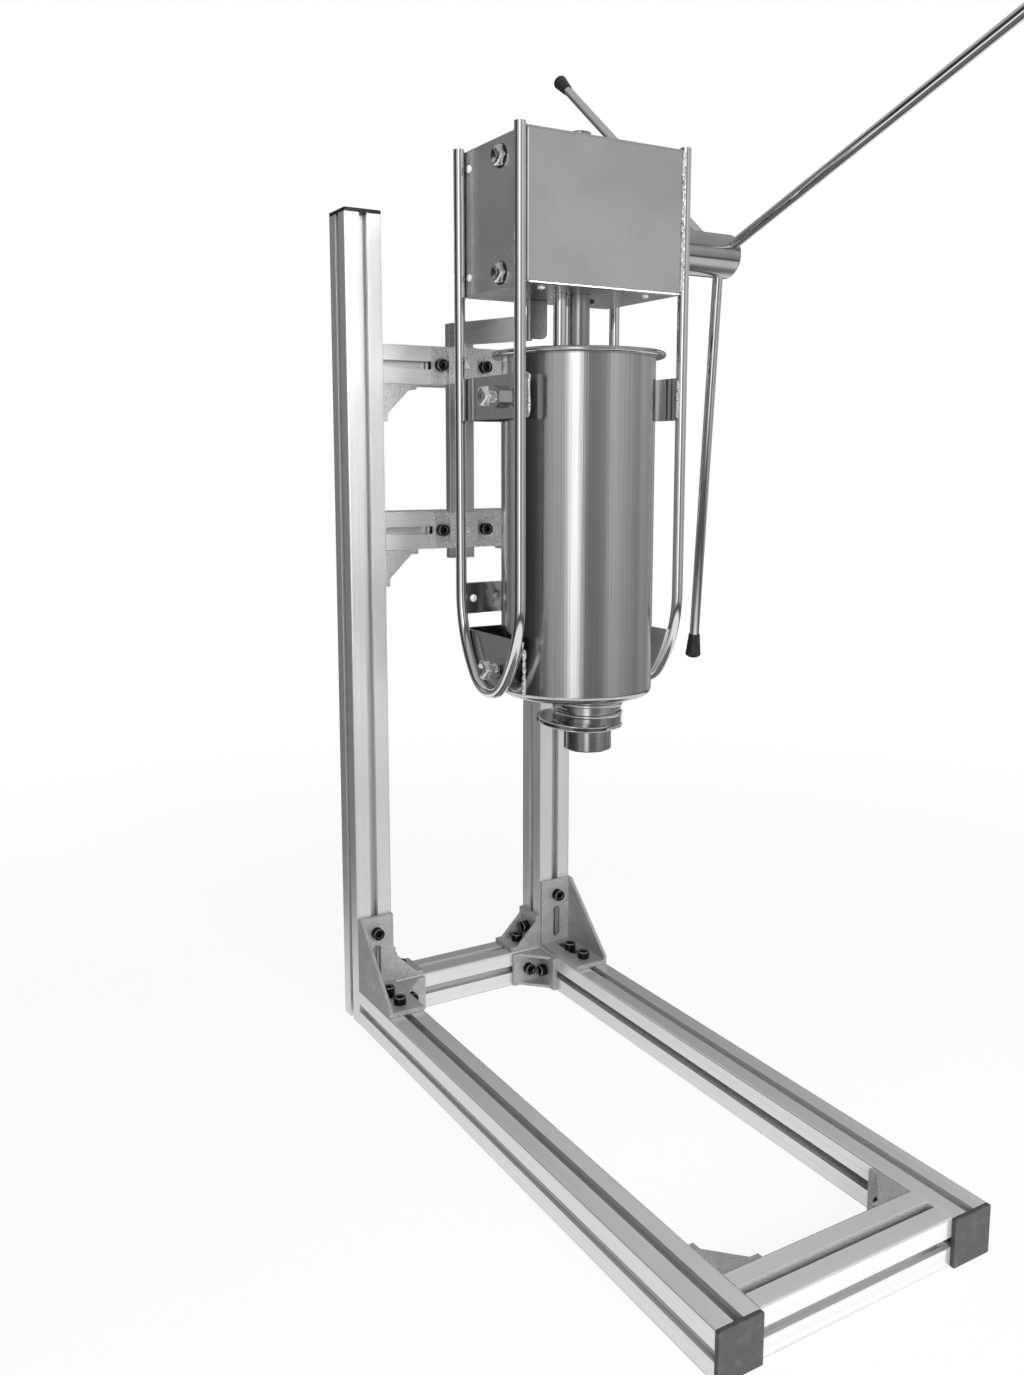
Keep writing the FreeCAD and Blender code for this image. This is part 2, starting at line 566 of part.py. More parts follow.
def side_frame():
    z_top = GEARBOX_TOP + SIDE_FRAME_PROUD
    path = Part.Wire(side_frame_outline(z_top))
    start = Vector(0, SIDE_FRAME_Y - SIDE_FRAME_HALF, z_top)
    ring = Part.Wire([Part.makeCircle(ROD_RADIUS, start, Z_AXIS)])
    return path.makePipeShell([ring], True, False)


def yoke_band(bottom, top):
    """Sheet bent round the back of the cylinder, open at the front."""
    front = FRONT_LEG_Y - YOKE_REACH
    outer = box(-YOKE_OUTER_X, YOKE_OUTER_X, front, YOKE_BACK_Y + YOKE_SHEET, bottom, top)
    inner = box(-YOKE_INNER_X, YOKE_INNER_X, front - 1, YOKE_BACK_Y, bottom, top)
    outer = outer.makeFillet(YOKE_BEND, [e for e in outer.Edges if upright_edge(e)
                                         and e.Vertexes[0].Y > YOKE_BACK_Y])
    inner = inner.makeFillet(YOKE_BEND - YOKE_SHEET, [e for e in inner.Edges if upright_edge(e)
                                                      and e.Vertexes[0].Y > YOKE_BACK_Y - 1])
    return outer.cut(inner)


def weld_nut(z):
    """Nut welded to the left cheek of a yoke, for a cylinder clamp screw."""
    seat = Vector(-YOKE_OUTER_X, CYLINDER_Y, z)
    return hexagon(CLAMP_NUT_AF, seat, -X_AXIS, WELD_NUT_HEIGHT)


def clamp_bore(z):
    start = Vector(-YOKE_INNER_X + 1, CYLINDER_Y, z)
    return rod(CLAMP_SCREW_RADIUS + THREAD_CLEARANCE, start, -X_AXIS, YOKE_SHEET + WELD_NUT_HEIGHT + 2)


def build_machine_frame():
    for side, name in ((-1, "left"), (1, "right")):
        frame = side_frame()
        frame.translate(X_AXIS * side * SIDE_FRAME_X)
        add("side_frame_" + name, frame)

    upper = yoke_band(UPPER_YOKE_BOTTOM, UPPER_YOKE_TOP).fuse(weld_nut(UPPER_CLAMP_Z))
    add("upper_yoke", upper.cut(clamp_bore(UPPER_CLAMP_Z)).removeSplitter())

    inside_u = Part.Face(Part.Wire(side_frame_outline(LOWER_YOKE_TOP + PROFILE) + [Part.makeLine(
        Vector(0, REAR_LEG_Y, LOWER_YOKE_TOP + PROFILE),
        Vector(0, FRONT_LEG_Y, LOWER_YOKE_TOP + PROFILE))]))
    inside_u = inside_u.extrude(X_AXIS * 2 * YOKE_OUTER_X)
    inside_u.translate(X_AXIS * -YOKE_OUTER_X)
    behind_u = box(-YOKE_OUTER_X, YOKE_OUTER_X, REAR_LEG_Y - YOKE_BEND, YOKE_BACK_Y + YOKE_SHEET,
                   LOWER_YOKE_BACK_BOTTOM, LOWER_YOKE_TOP)
    lower = yoke_band(LOWER_YOKE_BOTTOM, LOWER_YOKE_TOP).common(inside_u.fuse(behind_u))
    lower = lower.fuse(weld_nut(LOWER_CLAMP_Z)).cut(clamp_bore(LOWER_CLAMP_Z))
    add("lower_yoke", lower.removeSplitter())

    strap_y = REAR_LEG_Y + ROD_RADIUS
    middle_z = (STRAP_BOTTOM + STRAP_TOP) / 2
    strap = box(-SIDE_FRAME_X, SIDE_FRAME_X, strap_y, strap_y + STRAP_SHEET, STRAP_BOTTOM, STRAP_TOP)
    half = (STRAP_TOP - STRAP_BOTTOM) / 2
    left = -SIDE_FRAME_X + ROD_RADIUS
    plate_end = left + STRAP_PLATE_END
    plate = box(left, plate_end, strap_y - STRAP_SHEET, strap_y, STRAP_BOTTOM, STRAP_TOP)
    round_end = Vector(plate_end, strap_y - STRAP_SHEET, middle_z)
    plate = plate.fuse(rod(half, round_end, Y_AXIS, STRAP_SHEET))
    strap = strap.fuse(plate)
    for x in (plate_end - half / 2, plate_end + half + SCREW_HEAD_RADIUS + 1):
        depth = strap_y - STRAP_SHEET if x < plate_end else strap_y
        seat = Vector(x, depth, middle_z)
        strap = strap.cut(screw_hole(seat, -Y_AXIS, 2 * STRAP_SHEET))
        add("cover_screws", cover_screw(seat, -Y_AXIS))
    add("rear_strap", strap.removeSplitter())


def cover_screw(seat, outward):
    """M4 pan-head screw with a cross recess left to its finish."""
    head = rod(SCREW_HEAD_RADIUS, seat, outward, SCREW_HEAD_HEIGHT)
    head = head.makeFillet(SCREW_HEAD_HEIGHT * 0.45, [outer_edge(head, seat, outward)])
    return head.fuse(rod(SCREW_RADIUS, seat - outward * SCREW_LENGTH, outward, SCREW_LENGTH + 1))


def outer_edge(solid, seat, outward):
    """The circular edge furthest along a direction from the seat."""
    rings = [e for e in solid.Edges if e.Closed and isinstance(e.Curve, Part.Circle)]
    return max(rings, key=lambda e: (e.CenterOfMass - seat).dot(outward))


def screw_hole(seat, outward, depth):
    return rod(SCREW_RADIUS + THREAD_CLEARANCE, seat - outward * (depth + 1), outward, depth + 2)


# ---------------------------------------------------------------------------------- gearbox
def pan(x_half, y_front, y_back, z_bottom, z_top):
    """Open-backed box of cover sheet with bent edges; the closed face is at y_front."""
    outer = box(-x_half, x_half, y_front, y_back, z_bottom, z_top)
    outer = outer.makeFillet(COVER_BEND, [e for e in outer.Edges if e.CenterOfMass.y < y_front + 0.1])
    inner = box(-x_half + COVER_SHEET, x_half - COVER_SHEET, y_front + COVER_SHEET, y_back + 1,
                z_bottom + COVER_SHEET, z_top - COVER_SHEET)
    return outer.cut(inner)


def rack_passages(z, height, margin):
    """Holes for the rack and the guide rod through a level plate."""
    rack = rod(RACK_RADIUS + margin, Vector(0, CYLINDER_Y, z - 1), Z_AXIS, height + 2)
    guide = rod(GUIDE_ROD_RADIUS + margin, Vector(GUIDE_ROD_X, CYLINDER_Y, z - 1), Z_AXIS, height + 2)
    return rack.fuse(guide)


def build_gearbox():
    front = pan(GEARBOX_HALF_WIDTH, GEARBOX_FRONT, PLATE_FRONT, GEARBOX_BOTTOM, GEARBOX_TOP)
    inner_bottom = GEARBOX_BOTTOM + GEARBOX_PLATE + COVER_FIT
    inner_top = GEARBOX_TOP - GEARBOX_PLATE - COVER_FIT
    screw_y = GEARBOX_FRONT + COVER_SCREW_INSET
    tab_back = screw_y + COVER_TAB / 2
    bottom_plate = box(-PLATE_INNER_X, PLATE_INNER_X, PLATE_FRONT, PLATE_BACK,
                       GEARBOX_BOTTOM, GEARBOX_BOTTOM + GEARBOX_PLATE)
    top_plate = box(-PLATE_INNER_X, PLATE_INNER_X, PLATE_FRONT, PLATE_BACK,
                    GEARBOX_TOP - GEARBOX_PLATE, GEARBOX_TOP)
    for side in (-1, 1):
        x = side * COVER_SCREW_X
        for z_tab, seat_z, outward in ((inner_bottom, GEARBOX_BOTTOM, -Z_AXIS),
                                       (inner_top - COVER_SHEET, GEARBOX_TOP, Z_AXIS)):
            tab = box(x - COVER_TAB / 2, x + COVER_TAB / 2, GEARBOX_FRONT + COVER_SHEET, tab_back,
                      z_tab, z_tab + COVER_SHEET)
            seat = Vector(x, screw_y, seat_z)
            hole = screw_hole(seat, outward, GEARBOX_PLATE + COVER_SHEET + COVER_FIT)
            front = front.fuse(tab).cut(hole)
            bottom_plate = bottom_plate.cut(hole)
            top_plate = top_plate.cut(hole)
            add("cover_screws", cover_screw(seat, outward))
    add("gearbox_front_cover", front.removeSplitter())

    bottom_plate = bottom_plate.cut(rack_passages(GEARBOX_BOTTOM, GEARBOX_PLATE, 1.0))
    plug_centre = Vector(PLUG_X, PLUG_Y, GEARBOX_BOTTOM)
    bottom_plate = bottom_plate.cut(rod(PLUG_RADIUS, plug_centre - Z_AXIS, Z_AXIS, GEARBOX_PLATE + 2))
    hanger_seat = hanger_screw_seat()
    bottom_plate = bottom_plate.cut(screw_hole(hanger_seat, -Z_AXIS, GEARBOX_PLATE + HANGER_SHEET))
    add("gearbox_bottom", bottom_plate)
    add("gearbox_top", top_plate.cut(rack_passages(GEARBOX_TOP - GEARBOX_PLATE, GEARBOX_PLATE, 0.6)))
    plug = turned([(0, -PLUG_HEAD_HEIGHT), (PLUG_HEAD_RADIUS - 1, -PLUG_HEAD_HEIGHT),
                   (PLUG_HEAD_RADIUS, -PLUG_HEAD_HEIGHT + 1), (PLUG_HEAD_RADIUS, 0),
                   (PLUG_RADIUS - THREAD_CLEARANCE, 0), (PLUG_RADIUS - THREAD_CLEARANCE, GEARBOX_PLATE),
                   (PLUG_RADIUS + 1, GEARBOX_PLATE), (PLUG_RADIUS, GEARBOX_PLATE + 2),
                   (0, GEARBOX_PLATE + 2)], plug_centre)
    add("bottom_plug", plug)

    rear = box(-GEARBOX_HALF_WIDTH, GEARBOX_HALF_WIDTH, PLATE_BACK, GEARBOX_BACK,
               GEARBOX_BOTTOM, GEARBOX_TOP)
    for side, name in ((-1, "left"), (1, "right")):
        x0, x1 = sorted((side * PLATE_INNER_X, side * GEARBOX_HALF_WIDTH))
        plate = box(x0, x1, PLATE_FRONT, PLATE_BACK, GEARBOX_BOTTOM, GEARBOX_TOP)
        outer_flange = side * (PLATE_INNER_X - COVER_FIT)
        f0, f1 = sorted((outer_flange, outer_flange - side * COVER_SHEET))
        flange = box(f0, f1, PLATE_BACK - REAR_FLANGE, PLATE_BACK + COVER_SHEET,
                     GEARBOX_BOTTOM + SIDE_SCREW_MARGIN / 2, GEARBOX_TOP - SIDE_SCREW_MARGIN / 2)
        rear = rear.fuse(flange)
        outward = X_AXIS * side
        for z in (GEARBOX_BOTTOM + SIDE_SCREW_MARGIN, GEARBOX_TOP - SIDE_SCREW_MARGIN):
            seat = Vector(side * GEARBOX_HALF_WIDTH, GEARBOX_BACK - SIDE_SCREW_INSET, z)
            hole = screw_hole(seat, outward, GEARBOX_PLATE + COVER_SHEET + COVER_FIT)
            rear = rear.cut(hole)
            plate = plate.cut(hole)
            add("cover_screws", cover_screw(seat, outward))
        for z in (LOWER_GUIDE_Z, UPPER_GUIDE_Z):
            seat = Vector(side * GEARBOX_HALF_WIDTH, CYLINDER_Y, z + GUIDE_HEIGHT / 2)
            head = hexagon(GUIDE_BOLT_AF, seat, outward, GUIDE_BOLT_HEAD)
            shank_start = seat - outward * (GEARBOX_PLATE + GUIDE_BOLT_LENGTH)
            shank = rod(GUIDE_BOLT_RADIUS, shank_start, outward, GEARBOX_PLATE + GUIDE_BOLT_LENGTH + 1)
            add("guide_bolts", head.fuse(shank))
            hole_radius = GUIDE_BOLT_RADIUS + BOLT_HOLE_CLEARANCE
            plate = plate.cut(rod(hole_radius, seat - outward * 5, outward, 6))
        if side > 0:
            hole_start = Vector(PLATE_INNER_X - 1, SHAFT_Y, SHAFT_Z)
            plate = plate.cut(rod(SHAFT_RADIUS + SHAFT_BUSH_WALL, hole_start, X_AXIS, GEARBOX_PLATE + 2))
        add("gearbox_side_" + name, plate)
    add("gearbox_rear_cover", rear.removeSplitter())
    build_guides()
    build_shaft_bushes()


def build_guides():
    """Two cross blocks between the side plates guide the rack and the guide rod."""
    half = GUIDE_DEPTH / 2
    for name, z in (("lower_rack_guide", LOWER_GUIDE_Z), ("upper_rack_guide", UPPER_GUIDE_Z)):
        block = box(-PLATE_INNER_X, PLATE_INNER_X, CYLINDER_Y - half, CYLINDER_Y + half,
                    z, z + GUIDE_HEIGHT)
        for x, radius, wall in ((0, RACK_RADIUS, RACK_BUSH_WALL),
                                (GUIDE_ROD_X, GUIDE_ROD_RADIUS, ROD_BUSH_WALL)):
            centre = Vector(x, CYLINDER_Y, z)
            block = block.cut(rod(radius + wall, centre - Z_AXIS, Z_AXIS, GUIDE_HEIGHT + 2))
            add("guide_bushes", tube(radius + wall - THREAD_CLEARANCE, radius + RUNNING_CLEARANCE,
                                     centre, Z_AXIS, GUIDE_HEIGHT))
        for side in (-1, 1):
            end = Vector(side * PLATE_INNER_X, CYLINDER_Y, z + GUIDE_HEIGHT / 2)
            depth = GUIDE_BOLT_LENGTH + 3
            block = block.cut(rod(GUIDE_BOLT_RADIUS + THREAD_CLEARANCE, end, X_AXIS * -side, depth))
        add(name, block)


def build_shaft_bushes():
    """Flanged bush in the right side plate, and a blind bush welded inside the left one."""
    bore = SHAFT_RADIUS + RUNNING_CLEARANCE
    outer = SHAFT_RADIUS + SHAFT_BUSH_WALL
    inner_end = PLATE_INNER_X - SHAFT_BUSH_INSIDE
    sleeve = rod(outer - THREAD_CLEARANCE, Vector(inner_end, SHAFT_Y, SHAFT_Z), X_AXIS,
                 GEARBOX_HALF_WIDTH + SHAFT_FLANGE - inner_end)
    flange = rod(SHAFT_FLANGE_RADIUS, Vector(GEARBOX_HALF_WIDTH, SHAFT_Y, SHAFT_Z), X_AXIS, SHAFT_FLANGE)
    flange = flange.makeFillet(1.0, [outer_edge(flange, Vector(0, SHAFT_Y, SHAFT_Z), X_AXIS)])
    bush = sleeve.fuse(flange)
    add("shaft_bushes", bush.cut(rod(bore, Vector(inner_end - 1, SHAFT_Y, SHAFT_Z), X_AXIS,
                                     GEARBOX_HALF_WIDTH + SHAFT_FLANGE - inner_end + 2)))
    start = Vector(-PLATE_INNER_X, SHAFT_Y, SHAFT_Z)
    blind = rod(outer, start, X_AXIS, LEFT_BUSH_END + PLATE_INNER_X)
    add("shaft_bushes", blind.cut(rod(bore, start + X_AXIS * BLIND_WALL, X_AXIS, PLATE_INNER_X)))


# ----------------------------------------------------------------------------- hanger arm
def hanger_screw_seat():
    x = MOUNT_BAR_X - MOUNT_BAR_WIDTH / 2 + HANGER_TAB_WIDTH / 2
    y = HANGER_TAB_FRONT + HANGER_SHEET + HANGER_FLANGE / 2
    return Vector(x, y, GEARBOX_BOTTOM - HANGER_SHEET)


def build_hanger():
    """Flat arm from the mounting bar forward, with a tab turned across under the gearbox."""
    left = MOUNT_BAR_X - MOUNT_BAR_WIDTH / 2
    right = left + HANGER_TAB_WIDTH
    bottom = GEARBOX_BOTTOM - HANGER_TAB_DROP
    front_top = MOUNT_BAR_TOP - HANGER_DIP
    back = HANGER_TAB_FRONT + HANGER_SHEET
    arm = prism([Vector(left, -MOUNT_BAR_THICKNESS, MOUNT_BAR_TOP), Vector(left, back, front_top),
                 Vector(left, HANGER_TAB_FRONT, front_top),
                 Vector(left, HANGER_TAB_FRONT, front_top - HANGER_HEIGHT),
                 Vector(left, back, front_top - HANGER_HEIGHT),
                 Vector(left, -MOUNT_BAR_THICKNESS, MOUNT_BAR_TOP - HANGER_HEIGHT)],
                X_AXIS * HANGER_SHEET)
    corner = [e for e in arm.Edges if upright_edge(e) and e.Vertexes[0].X < left + 0.1
              and e.Vertexes[0].Y < back]
    tab = box(left, right, HANGER_TAB_FRONT, back, bottom, GEARBOX_BOTTOM)
    tab_corners = [e for e in tab.Edges if upright_edge(e) and e.Vertexes[0].X < left + 0.1
                   and e.Vertexes[0].Y < HANGER_TAB_FRONT + 0.1]
    arm = arm.makeFillet(HANGER_SHEET * 0.8, corner)
    tab = tab.makeFillet(HANGER_SHEET * 0.8, tab_corners)
    rounding = [e for e in tab.Edges if abs(e.CenterOfMass.z - bottom) < 0.1
                and abs(e.Length - HANGER_SHEET) < 0.1]
    tab = tab.makeFillet(HANGER_BEND, [e for e in rounding if e.CenterOfMass.x > right - 0.1])
    flange = box(left, right, back, back + HANGER_FLANGE, GEARBOX_BOTTOM - HANGER_SHEET, GEARBOX_BOTTOM)
    seat = hanger_screw_seat()
    hanger = arm.fuse(tab).fuse(flange).cut(screw_hole(seat, -Z_AXIS, HANGER_SHEET))
    add("hanger_arm", hanger.removeSplitter())
    add("cover_screws", cover_screw(seat, -Z_AXIS))


# ----------------------------------------------------------------------- cylinder and outlet
def build_cylinder():
    """Dough cylinder with a rolled rim, a rounded foot and a threaded outlet neck."""
    axis = Vector(0, CYLINDER_Y, 0)
    height = CYLINDER_TOP - CYLINDER_BOTTOM
    start = axis + Z_AXIS * CYLINDER_BOTTOM
    body = rod(CYLINDER_RADIUS, start, Z_AXIS, height)
    body = body.makeFillet(CYLINDER_FOOT_RADIUS, [outer_edge(body, start + Z_AXIS, -Z_AXIS)])
    rim_start = start + Z_AXIS * (height - RIM_THICKNESS)
    rim = rod(RIM_RADIUS, rim_start, Z_AXIS, RIM_THICKNESS)
    rim = rim.makeFillet(RIM_THICKNESS * 0.48, [e for e in rim.Edges if isinstance(e.Curve, Part.Circle)])
    bore = rod(BORE_RADIUS, start + Z_AXIS * CYLINDER_FLOOR, Z_AXIS, height)
    neck_start = Vector(0, OUTLET_Y, NECK_BOTTOM)
    neck = rod(NECK_RADIUS, neck_start, Z_AXIS, NECK_LENGTH + CYLINDER_FLOOR)
    collar_start = Vector(0, OUTLET_Y, CYLINDER_BOTTOM - COLLAR_HEIGHT)
    neck = neck.fuse(rod(COLLAR_RADIUS, collar_start, Z_AXIS, COLLAR_HEIGHT + CYLINDER_FLOOR / 2))
    outlet = rod(NECK_BORE, neck_start - Z_AXIS, Z_AXIS, NECK_LENGTH + CYLINDER_FLOOR + 2)
    add("cylinder", body.fuse(rim).cut(bore).fuse(neck).cut(outlet).removeSplitter())


def build_outlet():
    """Ring nut on the neck with a tilted wing to turn it by, and the nozzle that it holds."""
    centre = Vector(0, OUTLET_Y, NUT_BOTTOM)
    shell = rod(NUT_RADIUS, centre, Z_AXIS, NUT_HEIGHT)
    angle = math.radians(WING_TILT_AXIS)
    wing_centre = centre - X_AXIS * WING_OFFSET + Z_AXIS * WING_RISE
    wing = rod(WING_RADIUS, wing_centre, Z_AXIS, WING_THICKNESS)
    wing = wing.makeFillet(1.0, [e for e in wing.Edges if isinstance(e.Curve, Part.Circle)])
    wing.rotate(wing_centre, Vector(math.cos(angle), math.sin(angle), 0), WING_TILT)
    shell = shell.makeFillet(1.0, [e for e in shell.Edges if isinstance(e.Curve, Part.Circle)])
    nut = shell.fuse(wing)
    thread = rod(NECK_RADIUS + NUT_THREAD_CLEARANCE, centre + Z_AXIS * NUT_LIP, Z_AXIS, NUT_HEIGHT * 2)
    throat = rod(NOZZLE_RADIUS + NOZZLE_FIT, centre - Z_AXIS * WING_RADIUS, Z_AXIS, 2 * WING_RADIUS)
    add("outlet_ring_nut", nut.cut(thread).cut(throat).removeSplitter())

    flange_bottom = NUT_BOTTOM + NUT_LIP
    flange_top = flange_bottom + NOZZLE_FLANGE
    nozzle_bottom = flange_top - NOZZLE_LENGTH
    base = Vector(0, OUTLET_Y, 0)
    nozzle = turned([(0, nozzle_bottom), (NOZZLE_RADIUS - 1, nozzle_bottom),
                     (NOZZLE_RADIUS, nozzle_bottom + 1), (NOZZLE_RADIUS, flange_bottom),
                     (NECK_RADIUS - NOZZLE_FIT, flange_bottom), (NECK_RADIUS - NOZZLE_FIT, flange_top),
                     (NOZZLE_BORE, flange_top), (NOZZLE_BORE, nozzle_bottom + DIE_THICKNESS),
                     (0, nozzle_bottom + DIE_THICKNESS)], base)
    points = []
    for i in range(2 * STAR_POINTS):
        reach = STAR_OUTER if i % 2 == 0 else STAR_INNER
        turn = math.pi * i / STAR_POINTS
        points.append(base + Vector(reach * math.cos(turn), reach * math.sin(turn), nozzle_bottom - 1))
    star = prism(points, Z_AXIS * (DIE_THICKNESS + 2))
    add("nozzle", nozzle.cut(star))


def build_clamp_screws():
    """Two screws through the yokes' left cheeks press pads on the cylinder."""
    pad_inner_x = -CYLINDER_RADIUS - CONTACT_GAP
    pad_outer_x = pad_inner_x - CLAMP_PAD_THICKNESS
    nut_face_x = -YOKE_OUTER_X - WELD_NUT_HEIGHT - CONTACT_GAP
    head_x = nut_face_x - LOCK_NUT_HEIGHT - CLAMP_HEAD_GAP
    for name, z in (("upper", UPPER_CLAMP_Z), ("lower", LOWER_CLAMP_Z)):
        pad = rod(CLAMP_PAD_RADIUS, Vector(pad_inner_x, CYLINDER_Y, z), -X_AXIS, CLAMP_PAD_THICKNESS)
        add(name + "_clamp_pad", pad)
        tip = Vector(pad_outer_x - THREAD_CLEARANCE, CYLINDER_Y, z)
        screw = rod(CLAMP_SCREW_RADIUS, tip, -X_AXIS, tip.x - head_x + 1)
        head = Vector(head_x, CYLINDER_Y, z)
        screw = screw.fuse(rod(CLAMP_HEAD_RADIUS, head, -X_AXIS, CLAMP_HEAD_HEIGHT))
        screw = screw.cut(hexagon(CLAMP_HEAD_RADIUS, head - X_AXIS * CLAMP_HEAD_HEIGHT / 2, -X_AXIS,
                                  CLAMP_HEAD_HEIGHT))
        nut = hexagon(CLAMP_NUT_AF, Vector(nut_face_x, CYLINDER_Y, z), -X_AXIS, LOCK_NUT_HEIGHT)
        add(name + "_clamp_screw", screw.fuse(nut).removeSplitter())


# ------------------------------------------------------------------------------------ drive
def involute_half_tooth(radius):
    """Half the tooth's angular width at a radius of the pinion."""
    pressure = math.radians(PRESSURE_ANGLE)
    base = PITCH_RADIUS * math.cos(pressure)
    pitch_half = math.pi / (2 * PINION_TEETH) - BACKLASH / (2 * PITCH_RADIUS)
    if radius <= base:
        return pitch_half + math.tan(pressure) - pressure
    here = math.acos(base / radius)
    return pitch_half + (math.tan(pressure) - pressure) - (math.tan(here) - here)


def pinion():
    """Spur pinion on the shaft, a tooth gap facing the rack."""
    tip = PITCH_RADIUS + ADDENDUM
    root = PITCH_RADIUS - DEDENDUM
    radii = [root + (tip - root) * step / 5 for step in range(6)]
    points = []
    for tooth in range(PINION_TEETH):
        middle = 2 * math.pi * (tooth + 0.5) / PINION_TEETH
        flank = [(r, involute_half_tooth(r)) for r in radii]
        for r, half in flank:
            points.append((r, middle - half))
        for r, half in reversed(flank):
            points.append((r, middle + half))
    start_x = -PINION_WIDTH / 2
    # angle 0 points forward, at the rack
    outline = [Vector(start_x, SHAFT_Y - r * math.cos(a), SHAFT_Z + r * math.sin(a)) for r, a in points]
    gear = prism(outline, X_AXIS * PINION_WIDTH)
    bore = SHAFT_RADIUS + THREAD_CLEARANCE
    return gear.cut(rod(bore, Vector(start_x - 1, SHAFT_Y, SHAFT_Z), X_AXIS, PINION_WIDTH + 2))


def rack_bar():
    """Round bar with teeth along its back and a threaded stub in the piston."""
    top = GEARBOX_TOP + RACK_PROUD
    axis = Vector(0, CYLINDER_Y, 0)
    bar = rod(RACK_RADIUS, axis + Z_AXIS * PISTON_TOP, Z_AXIS, top - PISTON_TOP)
    bar = bar.makeChamfer(1.0, [outer_edge(bar, axis, Z_AXIS)])
    stub_bottom = PISTON_BOTTOM + NUT_POCKET_MARGIN
    bar = bar.fuse(rod(STUB_RADIUS, axis + Z_AXIS * stub_bottom, Z_AXIS, PISTON_TOP - stub_bottom + 1))
    pitch = math.pi * GEAR_MODULE
    spread = math.tan(math.radians(PRESSURE_ANGLE))
    tip_y = CYLINDER_Y + RACK_PITCH_LINE + ADDENDUM
    root_y = CYLINDER_Y + RACK_PITCH_LINE - DEDENDUM
    beyond_y = CYLINDER_Y + RACK_RADIUS + 1
    teeth_below = int(PLUNGER_TRAVEL / pitch) + 3
    teeth_above = 3
    left = -RACK_RADIUS - 1
    profile = [Vector(left, beyond_y, SHAFT_Z + (teeth_above + 0.5) * pitch)]
    # a rack tooth is centred on the shaft's height, in the pinion's facing gap
    for index in range(teeth_above, -teeth_below, -1):
        gap = SHAFT_Z + (index - 0.5) * pitch
        wide = pitch / 4 + spread * ADDENDUM
        narrow = pitch / 4 - spread * DEDENDUM
        profile += [Vector(left, tip_y, gap + wide), Vector(left, root_y, gap + narrow),
                    Vector(left, root_y, gap - narrow), Vector(left, tip_y, gap - wide)]
    profile[0] = Vector(left, beyond_y, profile[1].z)
    profile.append(Vector(left, beyond_y, profile[-1].z))
    return bar.cut(prism(profile, X_AXIS * 2 * (RACK_RADIUS + 1)))


def build_plunger():
    add("rack_bar", rack_bar())
    guide_axis = Vector(GUIDE_ROD_X, CYLINDER_Y, 0)
    guide_top = GEARBOX_TOP - GUIDE_ROD_TOP_GAP
    stub_bottom = PISTON_BOTTOM + NUT_POCKET_MARGIN
    guide = rod(GUIDE_ROD_RADIUS, guide_axis + Z_AXIS * PISTON_TOP, Z_AXIS, guide_top - PISTON_TOP)
    guide = guide.makeChamfer(1.0, [outer_edge(guide, guide_axis, Z_AXIS)])
    guide = guide.fuse(rod(ROD_STUB_RADIUS, guide_axis + Z_AXIS * stub_bottom, Z_AXIS,
                           PISTON_TOP - stub_bottom + 1))
    add("guide_rod", guide)

    axis = Vector(0, CYLINDER_Y, 0)
    disc = rod(PISTON_RADIUS, axis + Z_AXIS * PISTON_BOTTOM, Z_AXIS, PISTON_THICKNESS)
    disc = disc.makeChamfer(1.5, [outer_edge(disc, axis, Z_AXIS)])
    groove_z = PISTON_BOTTOM + (PISTON_THICKNESS - SEAL_HEIGHT) / 2
    groove_start = axis + Z_AXIS * groove_z
    groove_radius = PISTON_RADIUS - SEAL_DEPTH
    disc = disc.cut(tube(PISTON_RADIUS + 1, groove_radius, groove_start, Z_AXIS, SEAL_HEIGHT))
    seal = tube(BORE_RADIUS - SEAL_CLEARANCE, groove_radius + THREAD_CLEARANCE,
                groove_start + Z_AXIS * THREAD_CLEARANCE, Z_AXIS, SEAL_HEIGHT - 2 * THREAD_CLEARANCE)
    add("piston_seal", seal)
    pocket_depth = NUT_POCKET_MARGIN + PISTON_NUT_HEIGHT
    for centre, stub, flats in ((axis, STUB_RADIUS, PISTON_NUT_AF),
                                (guide_axis, ROD_STUB_RADIUS, ROD_NUT_AF)):
        bottom = centre + Z_AXIS * PISTON_BOTTOM
        disc = disc.cut(rod(stub + THREAD_CLEARANCE, bottom - Z_AXIS, Z_AXIS, PISTON_THICKNESS + 2))
        pocket_radius = flats / math.sqrt(3) + 0.4
        disc = disc.cut(rod(pocket_radius, bottom - Z_AXIS, Z_AXIS, pocket_depth + 1))
        nut = hexagon(flats, bottom + Z_AXIS * NUT_POCKET_MARGIN, Z_AXIS, PISTON_NUT_HEIGHT)
        add("piston_nuts", nut.cut(rod(stub + THREAD_CLEARANCE, bottom, Z_AXIS, PISTON_THICKNESS)))
    add("piston", disc)


